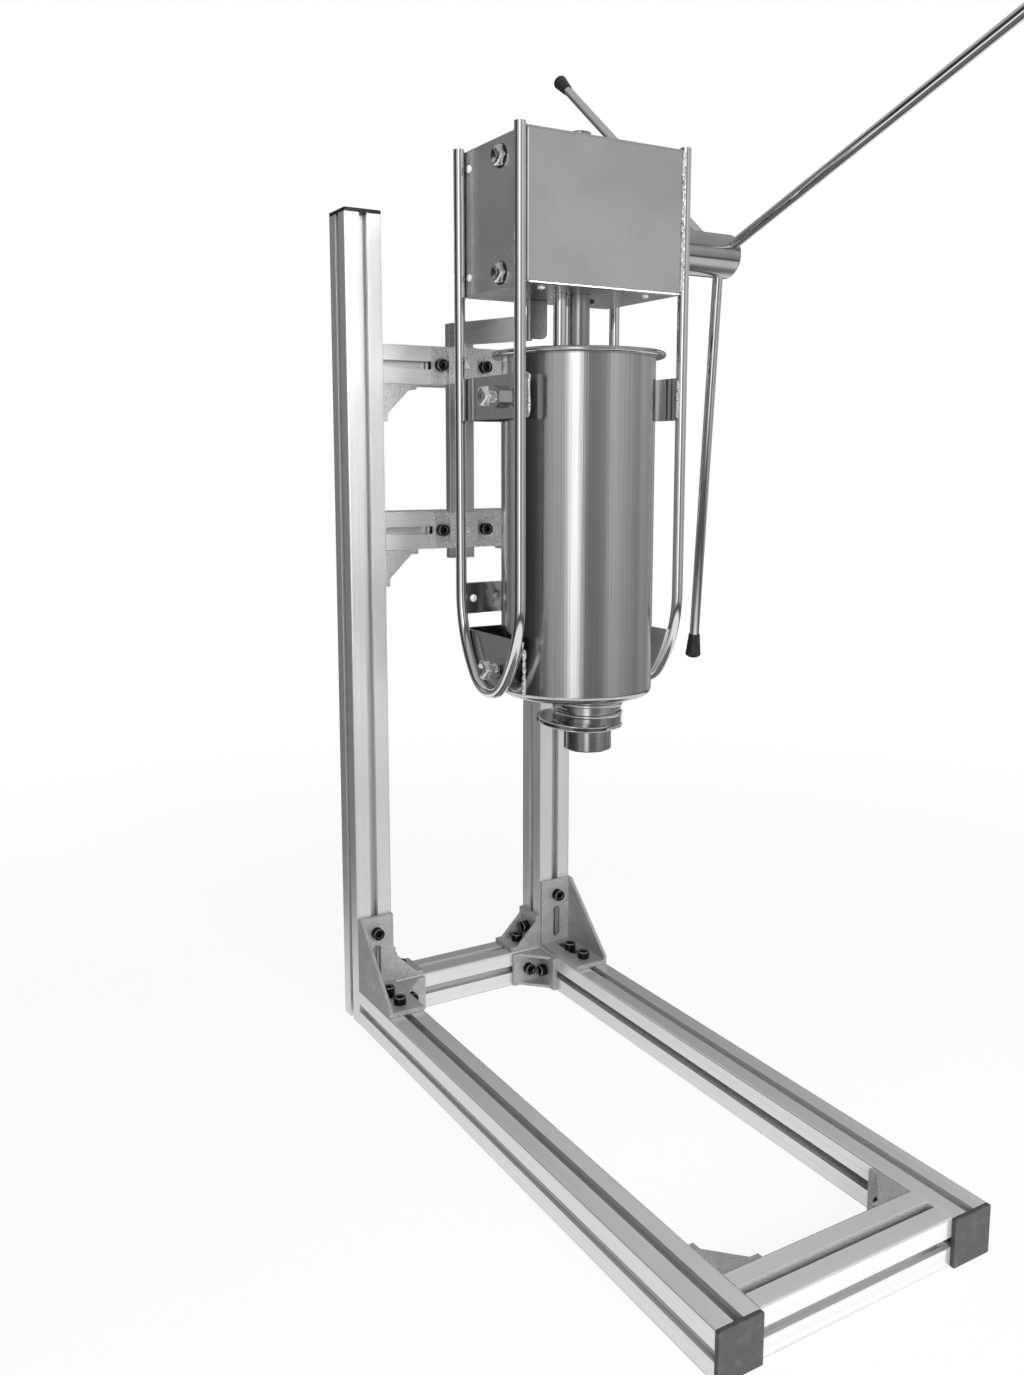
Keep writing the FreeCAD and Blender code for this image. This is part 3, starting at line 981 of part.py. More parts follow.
def build_lever():
    centre = Vector(0, SHAFT_Y, SHAFT_Z)
    shaft_start = -PLATE_INNER_X + BLIND_WALL + SIDE_CLEARANCE
    shaft_end = HUB_END - HUB_END_WALL - SIDE_CLEARANCE
    shaft = rod(SHAFT_RADIUS, centre + X_AXIS * shaft_start, X_AXIS, shaft_end - shaft_start)
    clip_x = LEFT_BUSH_END + SIDE_CLEARANCE
    clip_start = centre + X_AXIS * clip_x
    groove_radius = SHAFT_RADIUS - CIRCLIP_DEPTH
    shaft = shaft.cut(tube(SHAFT_RADIUS + 1, groove_radius, clip_start, X_AXIS, CIRCLIP_THICKNESS))
    add("drive_shaft", shaft)
    clip = tube(CIRCLIP_RADIUS, groove_radius + THREAD_CLEARANCE, clip_start + X_AXIS * THREAD_CLEARANCE,
                X_AXIS, CIRCLIP_THICKNESS - 2 * THREAD_CLEARANCE)
    opening = GEAR_MODULE * 2
    clip = clip.cut(box(clip_x - 1, clip_x + 3, SHAFT_Y - opening, SHAFT_Y + opening,
                        SHAFT_Z, SHAFT_Z + CIRCLIP_RADIUS + 1))
    add("shaft_circlip", clip)
    add("pinion", pinion())

    hub = rod(HUB_RADIUS, centre + X_AXIS * HUB_START, X_AXIS, HUB_END - HUB_START)
    rims = [e for e in hub.Edges if isinstance(e.Curve, Part.Circle)]
    hub = hub.makeFillet(HUB_EDGE_RADIUS, rims)
    hub = hub.cut(rod(SHAFT_RADIUS + THREAD_CLEARANCE, centre + X_AXIS * (HUB_START - 1), X_AXIS,
                      HUB_END - HUB_END_WALL - HUB_START + 1))
    screw_length = HUB_RADIUS - HUB_SCREW_INSET - SHAFT_RADIUS
    screw_start = centre + X_AXIS * HUB_SCREW_X + Z_AXIS * (SHAFT_RADIUS + THREAD_CLEARANCE)
    hub = hub.cut(rod(HUB_SCREW_RADIUS + THREAD_CLEARANCE, centre + X_AXIS * HUB_SCREW_X, Z_AXIS,
                      HUB_RADIUS + 1))
    screw = rod(HUB_SCREW_RADIUS, screw_start, Z_AXIS, screw_length)
    screw = screw.cut(hexagon(HUB_SCREW_RADIUS, screw_start + Z_AXIS * (screw_length - 4), Z_AXIS, 5))
    add("hub_set_screw", screw)

    splay = math.radians(ARM_SPLAY)
    for index in range(ARM_COUNT):
        angle = math.radians(FIRST_ARM_ANGLE + 360.0 * index / ARM_COUNT)
        outward = Vector(math.sin(splay), -math.cos(splay) * math.cos(angle),
                         math.cos(splay) * math.sin(angle))
        root = centre + X_AXIS * ARM_PLANE_X
        hub = hub.cut(rod(ARM_RADIUS + THREAD_CLEARANCE, root + outward * (ARM_ROOT - 0.5), outward,
                          HUB_RADIUS))
        number = str(index + 1)
        arm = rod(ARM_RADIUS, root + outward * ARM_ROOT, outward, ARM_TIP - ARM_ROOT)
        add("lever_arm_" + number, arm)
        grip = turned([(0, GRIP_START), (GRIP_SMALL_RADIUS, GRIP_START),
                       (GRIP_LARGE_RADIUS, GRIP_END - GRIP_EDGE), (GRIP_LARGE_RADIUS - GRIP_EDGE, GRIP_END),
                       (0, GRIP_END)], root, outward)
        add("lever_grip_" + number, grip.cut(rod(ARM_RADIUS + THREAD_CLEARANCE, root, outward,
                                                 ARM_TIP + THREAD_CLEARANCE)))
    add("lever_hub", hub)


# ------------------------------------------------------------------------------------ build
PROFILE_FACE = profile_section()
CORNER_SHAPE = corner_bracket()

build_stand()
build_mounting_bar()
build_machine_frame()
build_gearbox()
build_hanger()
build_cylinder()
build_outlet()
build_clamp_screws()
build_plunger()
build_lever()

os.makedirs("parts", exist_ok=True)
for node, solids in NODES.items():
    result = solids[0] if len(solids) == 1 else Part.makeCompound(solids)
    if not result.isValid() or min(s.Volume for s in solids) <= 0:
        raise ValueError("bad solid in " + node)
    result.exportStep("parts/" + node + ".step")
print(len(NODES), "nodes,", sum(len(s) for s in NODES.values()), "solids")
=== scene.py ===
import math
import random

import bmesh
import bpy
from mathutils import Matrix, Vector


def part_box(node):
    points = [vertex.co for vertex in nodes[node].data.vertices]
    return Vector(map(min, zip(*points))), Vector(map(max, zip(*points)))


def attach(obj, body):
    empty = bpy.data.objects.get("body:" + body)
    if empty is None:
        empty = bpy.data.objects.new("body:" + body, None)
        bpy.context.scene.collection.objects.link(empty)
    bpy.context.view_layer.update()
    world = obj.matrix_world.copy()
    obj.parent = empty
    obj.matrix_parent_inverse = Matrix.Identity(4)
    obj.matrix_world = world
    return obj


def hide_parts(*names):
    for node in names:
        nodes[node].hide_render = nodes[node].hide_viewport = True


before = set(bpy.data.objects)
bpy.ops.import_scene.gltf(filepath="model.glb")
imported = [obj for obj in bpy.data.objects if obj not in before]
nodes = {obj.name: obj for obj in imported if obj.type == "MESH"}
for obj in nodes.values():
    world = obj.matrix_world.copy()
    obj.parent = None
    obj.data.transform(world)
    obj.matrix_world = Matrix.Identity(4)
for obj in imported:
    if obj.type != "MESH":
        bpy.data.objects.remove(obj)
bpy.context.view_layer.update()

MM = 0.001
CYLINDER_AXIS = (0, -0.2156)    # the dough cylinder's upright axis, in metres
scene = bpy.context.scene
scene.view_settings.view_transform = "Standard"


# ---------------------------------------------------------------- node trees
class Graph:
    """A shader's node tree, with short ways to wire it; empty starts it without any node."""

    def __init__(self, owner, empty=False):
        owner.use_nodes = True
        self.tree = owner.node_tree
        if empty:
            self.tree.nodes.clear()

    def node(self, kind, **settings):
        made = self.tree.nodes.new(kind)
        for key, value in settings.items():
            setattr(made, key, value)
        return made

    def link(self, source, target):
        self.tree.links.new(source, target)

    def math(self, operation, *values):
        """Values are numbers or sockets."""
        made = self.node("ShaderNodeMath", operation=operation)
        for socket, value in zip(made.inputs, values):
            if isinstance(value, (int, float)):
                socket.default_value = value
            else:
                self.link(value, socket)
        return made.outputs[0]

    def spread(self, value, low, high, start=0.3, stop=0.7, **settings):
        """Maps start..stop onto low..high."""
        made = self.node("ShaderNodeMapRange", **settings)
        for key, number in (("From Min", start), ("From Max", stop), ("To Min", low), ("To Max", high)):
            made.inputs[key].default_value = number
        self.link(value, made.inputs["Value"])
        return made.outputs["Result"]

    def coloured(self, kind, grey):
        """Shader node of one even grey."""
        made = self.node(kind)
        made.inputs["Color"].default_value = (grey, grey, grey, 1)
        return made

    def mix_shaders(self, share, first, second):
        """Share 0 is the first shader and 1 the second."""
        made = self.node("ShaderNodeMixShader")
        self.link(share, made.inputs[0])
        self.link(first, made.inputs[1])
        self.link(second, made.inputs[2])
        return made.outputs[0]

    def background_rays(self):
        """1 for rays from the camera, also through clear things."""
        path = self.node("ShaderNodeLightPath")
        return self.math("MAXIMUM", path.outputs["Is Camera Ray"], path.outputs["Is Transmission Ray"])


# ---------------------------------------------------------------- finishes
class Finish(Graph):
    """A Principled material in object space."""

    def __init__(self, name, colour, metallic, roughness):
        self.material = bpy.data.materials.new(name)
        super().__init__(self.material)
        self.shader = self.tree.nodes["Principled BSDF"]
        self.colour = (*colour, 1)
        self.shader.inputs["Base Color"].default_value = self.colour
        self.shader.inputs["Metallic"].default_value = metallic
        self.shader.inputs["Roughness"].default_value = roughness
        self.normal = None

    def place(self, scale=(1, 1, 1), move=(0, 0, 0)):
        """Object coordinates, in metres, scaled and moved."""
        mapping = self.node("ShaderNodeMapping")
        mapping.inputs["Scale"].default_value = scale
        mapping.inputs["Location"].default_value = move
        self.link(self.node("ShaderNodeTexCoord").outputs["Object"], mapping.inputs["Vector"])
        return mapping.outputs["Vector"]

    def around(self, centre, lengthwise, crosswise):
        """Scaled (angle, 0, height) about an upright axis, for drawn surfaces."""
        split = self.node("ShaderNodeSeparateXYZ")
        self.link(self.place(move=(-centre[0], -centre[1], 0)), split.inputs[0])
        angle = self.math("ARCTAN2", split.outputs["Y"], split.outputs["X"])
        join = self.node("ShaderNodeCombineXYZ")
        self.link(self.math("MULTIPLY", angle, crosswise), join.inputs["X"])
        self.link(self.math("MULTIPLY", split.outputs["Z"], lengthwise), join.inputs["Z"])
        return join.outputs[0]

    def along(self, axis):
        """One object coordinate, in metres."""
        split = self.node("ShaderNodeSeparateXYZ")
        self.link(self.place(), split.inputs[0])
        return split.outputs[axis]

    def noise(self, vector, scale=1.0, detail=3.0, roughness=0.55):
        made = self.node("ShaderNodeTexNoise")
        made.inputs["Scale"].default_value = scale
        made.inputs["Detail"].default_value = detail
        made.inputs["Roughness"].default_value = roughness
        self.link(vector, made.inputs["Vector"])
        return made.outputs["Fac"]

    def rough(self, value, low, high, start=0.3, stop=0.7):
        """Roughness runs from low to high as the value rises."""
        self.link(self.spread(value, low, high, start, stop), self.shader.inputs["Roughness"])

    def tint(self, value, other, start=0.3, stop=0.7):
        """Colour runs from what it was to another as the value rises."""
        mix = self.node("ShaderNodeMix", data_type="RGBA")
        self.link(self.spread(value, 0, 1, start, stop), mix.inputs["Factor"])
        earlier = self.shader.inputs["Base Color"]
        if earlier.is_linked:
            self.link(earlier.links[0].from_socket, mix.inputs["A"])
        else:
            mix.inputs["A"].default_value = self.colour
        mix.inputs["B"].default_value = (*other, 1)
        self.link(mix.outputs["Result"], earlier)

    def bump(self, height, depth, strength=1.0):
        """Adds one layer of relief; depth is in metres."""
        made = self.node("ShaderNodeBump")
        made.inputs["Strength"].default_value = strength
        made.inputs["Distance"].default_value = depth
        self.link(height, made.inputs["Height"])
        if self.normal:
            self.link(self.normal, made.inputs["Normal"])
        self.normal = made.outputs["Normal"]
        self.link(self.normal, self.shader.inputs["Normal"])

    def right_half(self, metallic):
        """1 on the machine's right side, where the finish gets another metallic share."""
        right = self.spread(self.along("X"), 0, 1, -0.001, 0.001)
        self.link(self.spread(right, 1.0, metallic, 0, 1), self.shader.inputs["Metallic"])
        return right


def grain(axis, across, along):
    """Scale vector for lines that run along one axis."""
    return tuple(along if i == "XYZ".index(axis) else across for i in range(3))


def profile_finish(axis):
    """Natural anodised extrusion with die lines along the bar."""
    f = Finish("anodised_profile_" + axis.lower(), (0.84, 0.84, 0.845), 0.70, 0.22)
    lines = f.noise(f.place(grain(axis, 420, 0.8)), detail=2)
    fine = f.noise(f.place(grain(axis, 1600, 5)), detail=2)
    cloud = f.noise(f.place(), scale=7, detail=2)
    f.tint(lines, (0.77, 0.772, 0.778), 0.4, 0.6)
    f.tint(cloud, (0.80, 0.798, 0.796), 0.45, 0.75)
    f.rough(fine, 0.19, 0.25)
    return f.material


def steel_finish(name, colour, roughness, axis, wear_and_highlight, depth=0.00003):
    """Stainless steel with a directional grind."""
    f = Finish(name, colour, 1.0, roughness)
    lines = f.noise(f.place(grain(axis, 1400, 14)), detail=4, roughness=0.7)
    streaks = f.noise(f.place(grain(axis, 200, 5)), detail=2)
    cloud = f.noise(f.place(), scale=22, detail=3)
    dark = tuple(c * (1 - wear_and_highlight * 1.6) for c in colour)
    f.tint(streaks, dark)
    f.rough(f.math("ADD", f.math("MULTIPLY", lines, 0.6), f.math("MULTIPLY", cloud, 0.4)),
            roughness * (1 - wear_and_highlight * 2), roughness * (1 + wear_and_highlight * 3))
    f.bump(lines, depth)
    return f.material


def sheet_finish(name, colour, roughness):
    """Satin stainless sheet: even, with soft clouds and hardly any grain."""
    f = Finish(name, colour, 1.0, roughness)
    cloud = f.noise(f.place(), scale=16, detail=3)
    f.tint(cloud, tuple(c * 0.93 for c in colour), 0.4, 0.75)
    f.rough(cloud, roughness * 0.9, roughness * 1.15)
    return f.material


def polished_finish(name, colour, roughness):
    """Polished metal with faint handling haze."""
    f = Finish(name, colour, 1.0, roughness)
    haze = f.noise(f.place(), scale=25, detail=2)
    f.rough(haze, roughness * 0.8, roughness * 1.4)
    f.tint(haze, tuple(c * 0.95 for c in colour), 0.5, 0.75)
    return f.material


def cheek_finish():
    """Polished band; its right half carries painted reflections: pale and part diffuse, with broad brown and
    narrow dark upright streaks.
    """
    f = Finish("painted_reflection_band", (0.46, 0.452, 0.444), 1.0, 0.14)
    right = f.right_half(metallic=0.35)
    broad_painted_reflection = f.spread(f.noise(f.place((8, 75, 1)), detail=1), 0, 1, 0.47, 0.53)
    streaks = f.spread(f.noise(f.place((12, 190, 1.2)), detail=1), 0, 1, 0.52, 0.55)
    # painted reflection on the right half: paler and part diffuse, then brown and dark upright streaks
    f.tint(right, (0.96, 0.95, 0.935), 0, 1)
    f.tint(f.math("MULTIPLY", broad_painted_reflection, right), (0.34, 0.305, 0.28), 0, 1)
    f.tint(f.math("MULTIPLY", streaks, right), (0.07, 0.062, 0.058), 0, 1)
    f.rough(streaks, 0.12, 0.2, 0, 1)
    return f.material


def lower_band_finish():
    """Polished band; the right half is darker and part diffuse, a painted reflection that the lamps light
    grey.
    """
    f = Finish("polished_band", (0.50, 0.49, 0.48), 1.0, 0.15)
    # painted reflection: darker, part-diffuse right half
    f.tint(f.right_half(metallic=0.45), (0.42, 0.415, 0.41), 0, 1)
    f.rough(f.noise(f.place((12, 900, 12))), 0.12, 0.2)
    return f.material


def cylinder_finish():
    """Drawn and polished tube: faint upright draw marks under a mirror polish."""
    f = Finish("drawn_cylinder", (0.66, 0.655, 0.65), 1.0, 0.13)
    upright = f.noise(f.around(CYLINDER_AXIS, 2.0, 46), detail=3)
    fine = f.noise(f.around(CYLINDER_AXIS, 5.0, 420), detail=2)
    cloud = f.noise(f.place(), scale=14, detail=3)
    f.tint(upright, (0.55, 0.548, 0.545))
    f.rough(f.math("ADD", f.math("MULTIPLY", fine, 0.5), f.math("MULTIPLY", cloud, 0.5)), 0.09, 0.2)
    f.bump(upright, 0.0002, 0.35)
    f.bump(fine, 0.00002, 0.6)
    return f.material


def turned_finish(name, colour, roughness, axis):
    """Fine rings left by a lathe, as bands along the axis."""
    f = Finish(name, colour, 1.0, roughness)
    rings = f.noise(f.place(grain(axis, 1, 5200)), detail=2)
    cloud = f.noise(f.place(), scale=50, detail=3)
    f.rough(f.math("ADD", f.math("MULTIPLY", rings, 0.5), f.math("MULTIPLY", cloud, 0.5)),
            roughness * 0.75, roughness * 1.4)
    f.tint(cloud, tuple(c * 0.88 for c in colour), 0.45, 0.8)
    f.bump(rings, 0.00003, 0.8)
    return f.material


def cast_finish(name, colour, shade):
    """Die-cast aluminium, tumbled: speckled, with darker pits."""
    f = Finish(name, colour, 0.68, 0.42)
    speck = f.noise(f.place(), scale=620, detail=3, roughness=0.7)
    cloud = f.noise(f.place(), scale=70, detail=3)
    f.tint(cloud, shade)
    f.tint(speck, (0.28, 0.28, 0.28), 0.5, 0.7)
    f.rough(speck, 0.42, 0.62)
    f.bump(cloud, 0.0004, 0.4)
    f.bump(speck, 0.00012, 0.8)
    return f.material


def black_finish(name, colour, roughness, metallic, scale, depth):
    """Dark surface with a fine grain and paler, rubbed patches."""
    f = Finish(name, colour, metallic, roughness)
    fine = f.noise(f.place(), scale=scale, detail=3)
    cloud = f.noise(f.place(), scale=120, detail=3)
    f.tint(cloud, tuple(min(1, c * 1.9 + 0.006) for c in colour), 0.5, 0.85)
    f.rough(fine, roughness * 0.82, roughness * 1.25)
    f.bump(fine, depth, 0.8)
    return f.material


def cap_finish():
    """Black moulded caps, darker towards the top, so the low front ones come out paler than the high ones.
    """
    f = Finish("cap_plastic", (0.050, 0.050, 0.052), 0.0, 0.45)
    fine = f.noise(f.place(), scale=1500, detail=3)
    f.tint(f.noise(f.place(), scale=120, detail=3), (0.085, 0.085, 0.087), 0.5, 0.85)
    f.tint(f.along("Z"), (0.009, 0.009, 0.0095), 0.1, 0.6)
    f.rough(fine, 0.36, 0.56)
    f.bump(fine, 0.00005, 0.8)
    return f.material


def zinc_finish(name, colour, metallic, roughness):
    """Bright plating with faint clouds."""
    f = Finish(name, colour, metallic, roughness)
    cloud = f.noise(f.place(), scale=240, detail=3)
    f.tint(cloud, tuple(c * 0.84 for c in colour))
    f.rough(cloud, roughness * 0.75, roughness * 1.6)
    return f.material


def bronze_finish():
    """Turned bushes."""
    f = Finish("turned_bronze", (0.62, 0.45, 0.22), 1.0, 0.28)
    cloud = f.noise(f.place(), scale=180, detail=3)
    f.tint(cloud, (0.44, 0.30, 0.14))
    f.rough(cloud, 0.22, 0.4)
    f.bump(f.noise(f.place((1, 1, 3500)), detail=1), 0.00003, 0.7)
    return f.material


def plastic_finish():
    """Turned white food-grade plastic."""
    f = Finish("turned_white_plastic", (0.84, 0.835, 0.81), 0.0, 0.45)
    cloud = f.noise(f.place(), scale=60, detail=3)
    f.tint(cloud, (0.78, 0.775, 0.74))
    f.rough(cloud, 0.38, 0.55)
    f.bump(f.noise(f.place((1, 1, 2500)), detail=1), 0.00003, 0.7)
    return f.material


def weld_finish():
    """Bright weld metal with burnt patches."""
    f = Finish("weld_metal", (0.74, 0.73, 0.72), 0.85, 0.1)
    burn = f.noise(f.place(), scale=420, detail=2)
    f.tint(burn, (0.22, 0.205, 0.19), 0.5, 0.68)
    f.rough(burn, 0.08, 0.3)
    return f.material


profile_x, profile_y, profile_z = (profile_finish(a) for a in "XYZ")
cast = cast_finish("die_cast", (0.60, 0.60, 0.592), (0.50, 0.50, 0.495))
# the same die-cast finish painted paler for the bar clamps: painted light
lit_cast = cast_finish("die_cast_painted_lit", (0.86, 0.86, 0.85), (0.78, 0.78, 0.77))
black_oxide = black_finish("black_oxide", (0.013, 0.013, 0.014), 0.16, 0.85, 2200, 0.00001)
cap_plastic = cap_finish()
grip_plastic = black_finish("grip_plastic", (0.012, 0.012, 0.012), 0.27, 0.0, 900, 0.00002)
rubber = black_finish("black_rubber", (0.014, 0.014, 0.014), 0.55, 0.0, 1800, 0.00004)
spring = black_finish("blued_steel_and_painted_shade", (0.03, 0.03, 0.034), 0.3, 0.8, 1600, 0.00002)
zinc = zinc_finish("bright_zinc", (0.66, 0.665, 0.67), 1.0, 0.2)
bar_steel = steel_finish("mill_bar", (0.64, 0.63, 0.62), 0.32, "Z", wear_and_highlight=0.12, depth=0.00006)
hanger_steel = steel_finish("mill_flat", (0.56, 0.553, 0.545), 0.30, "Y", wear_and_highlight=0.12, depth=0.00006)
strap_steel = steel_finish("polished_strap", (0.60, 0.60, 0.595), 0.14, "X", wear_and_highlight=0.08)
rod_polish = polished_finish("polished_rod", (0.80, 0.795, 0.79), 0.055)
bolt_polish = polished_finish("polished_bolt", (0.74, 0.735, 0.73), 0.05)
painted_reflection_band = cheek_finish()
band_polish = lower_band_finish()
# near-white, part-diffuse plating: a painted glint on small screw heads and on the cover's lower edge
glint_zinc = zinc_finish("zinc_painted_glint", (0.95, 0.95, 0.94), 0.35, 0.15)
# paler black for the socket screws' chamfers and rims: a painted highlight ring
painted_highlight_black = zinc_finish("painted_highlight_black", (0.26, 0.26, 0.265), 0.9, 0.2)
clamp_nut = zinc_finish("clamp_nut", (0.72, 0.72, 0.715), 0.9, 0.1)
# one satin sheet in three copies: front faces painted lighter, sides and top and bottom darker, as painted
# light and shade
sheet_front = sheet_finish("satin_sheet_front", (0.72, 0.712, 0.705), 0.30)
sheet_side = sheet_finish("satin_sheet_side", (0.60, 0.592, 0.585), 0.26)
sheet_level = sheet_finish("satin_sheet_level", (0.62, 0.618, 0.615), 0.28)
guide_steel = steel_finish("milled_block", (0.52, 0.52, 0.52), 0.32, "X", wear_and_highlight=0.1)
gear_steel = steel_finish("oiled_gear", (0.46, 0.455, 0.45), 0.24, "Z", wear_and_highlight=0.12)
turned_x = turned_finish("turned_across", (0.50, 0.488, 0.475), 0.12, "X")
turned_z = turned_finish("turned_upright", (0.60, 0.592, 0.585), 0.08, "Z")
# polished stainless painted darker than the other polished parts: painted shade for the dark room that the
# ring nut mirrors
nut_polish = polished_finish("polished_nut", (0.42, 0.412, 0.405), 0.05)
drawn = cylinder_finish()
bronze = bronze_finish()
piston_plastic = plastic_finish()
bead_polish = polished_finish("polished_bead", (0.74, 0.73, 0.72), 0.05)
weld_metal = weld_finish()

FINISH_OF = {
    profile_x: ["rear_crossbar", "front_crossbar", "upper_crossbar", "lower_crossbar"],
    profile_y: ["base_rail_left", "base_rail_right"],
    profile_z: ["upright_left", "upright_right"],
    cap_plastic: ["profile_end_caps"],
    cast: ["tall_bracket_left", "tall_bracket_right", "base_corner_brackets", "crossbar_brackets"],
    lit_cast: ["bar_clamps"],
    black_oxide: ["frame_bolts"],
    zinc: ["frame_tee_nuts", "piston_nuts"],
    bolt_polish: ["cover_screws", "guide_bolts", "upper_clamp_screw", "lower_clamp_screw", "bar_set_screws"],
    bar_steel: ["mounting_bar"],
    hanger_steel: ["hanger_arm"],
    strap_steel: ["rear_strap"],
    rod_polish: ["side_frame_left", "side_frame_right", "lever_arm_1", "lever_arm_2", "lever_arm_3",
                 "guide_rod"],
    painted_reflection_band: ["upper_yoke"],
    band_polish: ["lower_yoke"],
    sheet_front: ["gearbox_front_cover", "gearbox_rear_cover"],
    sheet_side: ["gearbox_side_left", "gearbox_side_right"],
    sheet_level: ["gearbox_top", "gearbox_bottom"],
    guide_steel: ["upper_rack_guide", "lower_rack_guide"],
    bronze: ["guide_bushes"],
    turned_x: ["lever_hub", "drive_shaft", "shaft_bushes"],
    turned_z: ["nozzle"],
    nut_polish: ["outlet_ring_nut"],
    drawn: ["cylinder"],
    gear_steel: ["pinion", "rack_bar"],
    spring: ["shaft_circlip", "hub_set_screw"],
    grip_plastic: ["lever_grip_1", "lever_grip_2", "lever_grip_3"],
    piston_plastic: ["piston"],
    rubber: ["piston_seal", "bottom_plug", "upper_clamp_pad", "lower_clamp_pad"],
}
for finish, names in FINISH_OF.items():
    for name in names:
        for material_slot in nodes[name].material_slots:
            material_slot.material = finish


# ---------------------------------------------------------------- edges
JOIN_WITHIN = 2e-6      # metres between points of one corner
FLAT_WITHIN = 0.4       # degrees between faces of one plane
SHARPEST = 32           # degrees; edges that turn less stay as they are


def soften(name, width):
    """Breaks the sharp edges of a CAD node, as an extrusion, casting or machining has them."""
    piece = nodes[name]
    weld = piece.modifiers.new("weld", "WELD")
    weld.merge_threshold = JOIN_WITHIN
    flat = piece.modifiers.new("flat", "DECIMATE")
    flat.decimate_type = "DISSOLVE"
    flat.angle_limit = math.radians(FLAT_WITHIN)
    bevel = piece.modifiers.new("edges", "BEVEL")
    bevel.width = width
    bevel.segments = 2
    bevel.limit_method = "ANGLE"
    bevel.angle_limit = math.radians(SHARPEST)
    bevel.use_clamp_overlap = False
    bevel.miter_outer = "MITER_ARC"
    normals = piece.modifiers.new("normals", "WEIGHTED_NORMAL")
    normals.keep_sharp = True


EDGE_WIDTHS = {
    0.9 * MM: ["tall_bracket_left", "tall_bracket_right"],
    0.7 * MM: ["base_corner_brackets", "crossbar_brackets", "bar_clamps", "profile_end_caps"],
    0.45 * MM: ["mounting_bar", "hanger_arm"],
    0.25 * MM: ["base_rail_left", "base_rail_right", "rear_crossbar", "front_crossbar", "upright_left",
                "upright_right", "upper_crossbar", "lower_crossbar"],
    0.3 * MM: ["rear_strap", "gearbox_rear_cover", "gearbox_side_left", "gearbox_side_right", "gearbox_top",
               "gearbox_bottom"],
    0.35 * MM: ["outlet_ring_nut"],
}
for width, names in EDGE_WIDTHS.items():
    for name in names:
        soften(name, width)


# ---------------------------------------------------------------- new pieces
def add_piece(mesh, name, body, slot, *finishes, sharp=None, smooth=True):
    """Turns a bmesh into a piece of its own that rides a body; sharp edges turn by that many degrees."""
    data = bpy.data.meshes.new(name)
    mesh.to_mesh(data)
    mesh.free()
    if smooth:
        data.shade_smooth()
    if sharp:
        data.set_sharp_from_angle(angle=math.radians(sharp))
    for finish in finishes:
        data.materials.append(finish)
    piece = bpy.data.objects.new(name, data)
    scene.collection.objects.link(piece)
    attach(piece, body)
    return piece


def face_outward(mesh):
    bmesh.ops.recalc_face_normals(mesh, faces=mesh.faces)


def turns(count, steps=None):
    """Angles of a full turn in count equal steps, or of as many such steps as asked for."""
    return [2 * math.pi * k / count for k in range(steps or count)]


def skin(mesh, rings, closed=False):
    """Faces between rings of points; an open run gets both its ends."""
    sides = len(rings[0])
    following = rings[1:] + rings[:1] if closed else rings[1:]
    for lower, upper in zip(rings, following):
        for k in range(sides):
            mesh.faces.new((lower[k], lower[(k + 1) % sides], upper[(k + 1) % sides], upper[k]))
    if not closed:
        mesh.faces.new(rings[0][::-1])
        mesh.faces.new(rings[-1])


# ---------------------------------------------------------------- screws
SAME_PLACE = 1e5        # points closer than 1 / SAME_PLACE metres are one
LONGEST_WITHIN = 1e-5   # metres
HEAD_REACH = 1.2 * MM   # depth at an end within which its radius is measured


def loose_parts(piece):
    """Points of every part of a mesh; faces belong together where they share an edge."""
    mesh = piece.data
    spots = [piece.matrix_world @ vertex.co for vertex in mesh.vertices]
    keys = [tuple(round(c * SAME_PLACE) for c in spot) for spot in spots]
    leader = list(range(len(mesh.polygons)))

    def lead(i):
        while leader[i] != i:
            leader[i] = leader[leader[i]]
            i = leader[i]
        return i

    seen = {}
    for face in mesh.polygons:
        for first, second in face.edge_keys:
            pair = tuple(sorted((keys[first], keys[second])))
            if pair[0] != pair[1]:
                leader[lead(face.index)] = lead(seen.setdefault(pair, face.index))
    groups = {}
    for face in mesh.polygons:
        groups.setdefault(lead(face.index), []).extend(spots[i] for i in face.vertices)
    return list(groups.values())


def head_ends(node):
    """(tip of the head, direction out of the head, length) of every screw in a node."""
    found = []
    for points in loose_parts(nodes[node]):
        low = Vector([min(p[i] for p in points) for i in range(3)])
        high = Vector([max(p[i] for p in points) for i in range(3)])
        size = high - low
        # the longest side, and of equals the one with a square end
        axis = min(range(3), key=lambda i: abs(size[(i + 1) % 3] - size[(i + 2) % 3])
                   + (0 if size[i] > max(size) - LONGEST_WITHIN else 1))
        centre = (low + high) / 2

        def reach(end):
            near = [p for p in points if abs(p[axis] - end) < HEAD_REACH]
            return max(math.hypot(*(p[i] - centre[i] for i in range(3) if i != axis)) for p in near)

        outward = Vector((0, 0, 0))
        outward[axis] = 1 if reach(high[axis]) > reach(low[axis]) else -1
        tip = centre.copy()
        tip[axis] = high[axis] if outward[axis] > 0 else low[axis]
        found.append((tip, outward, size[axis]))
    return found


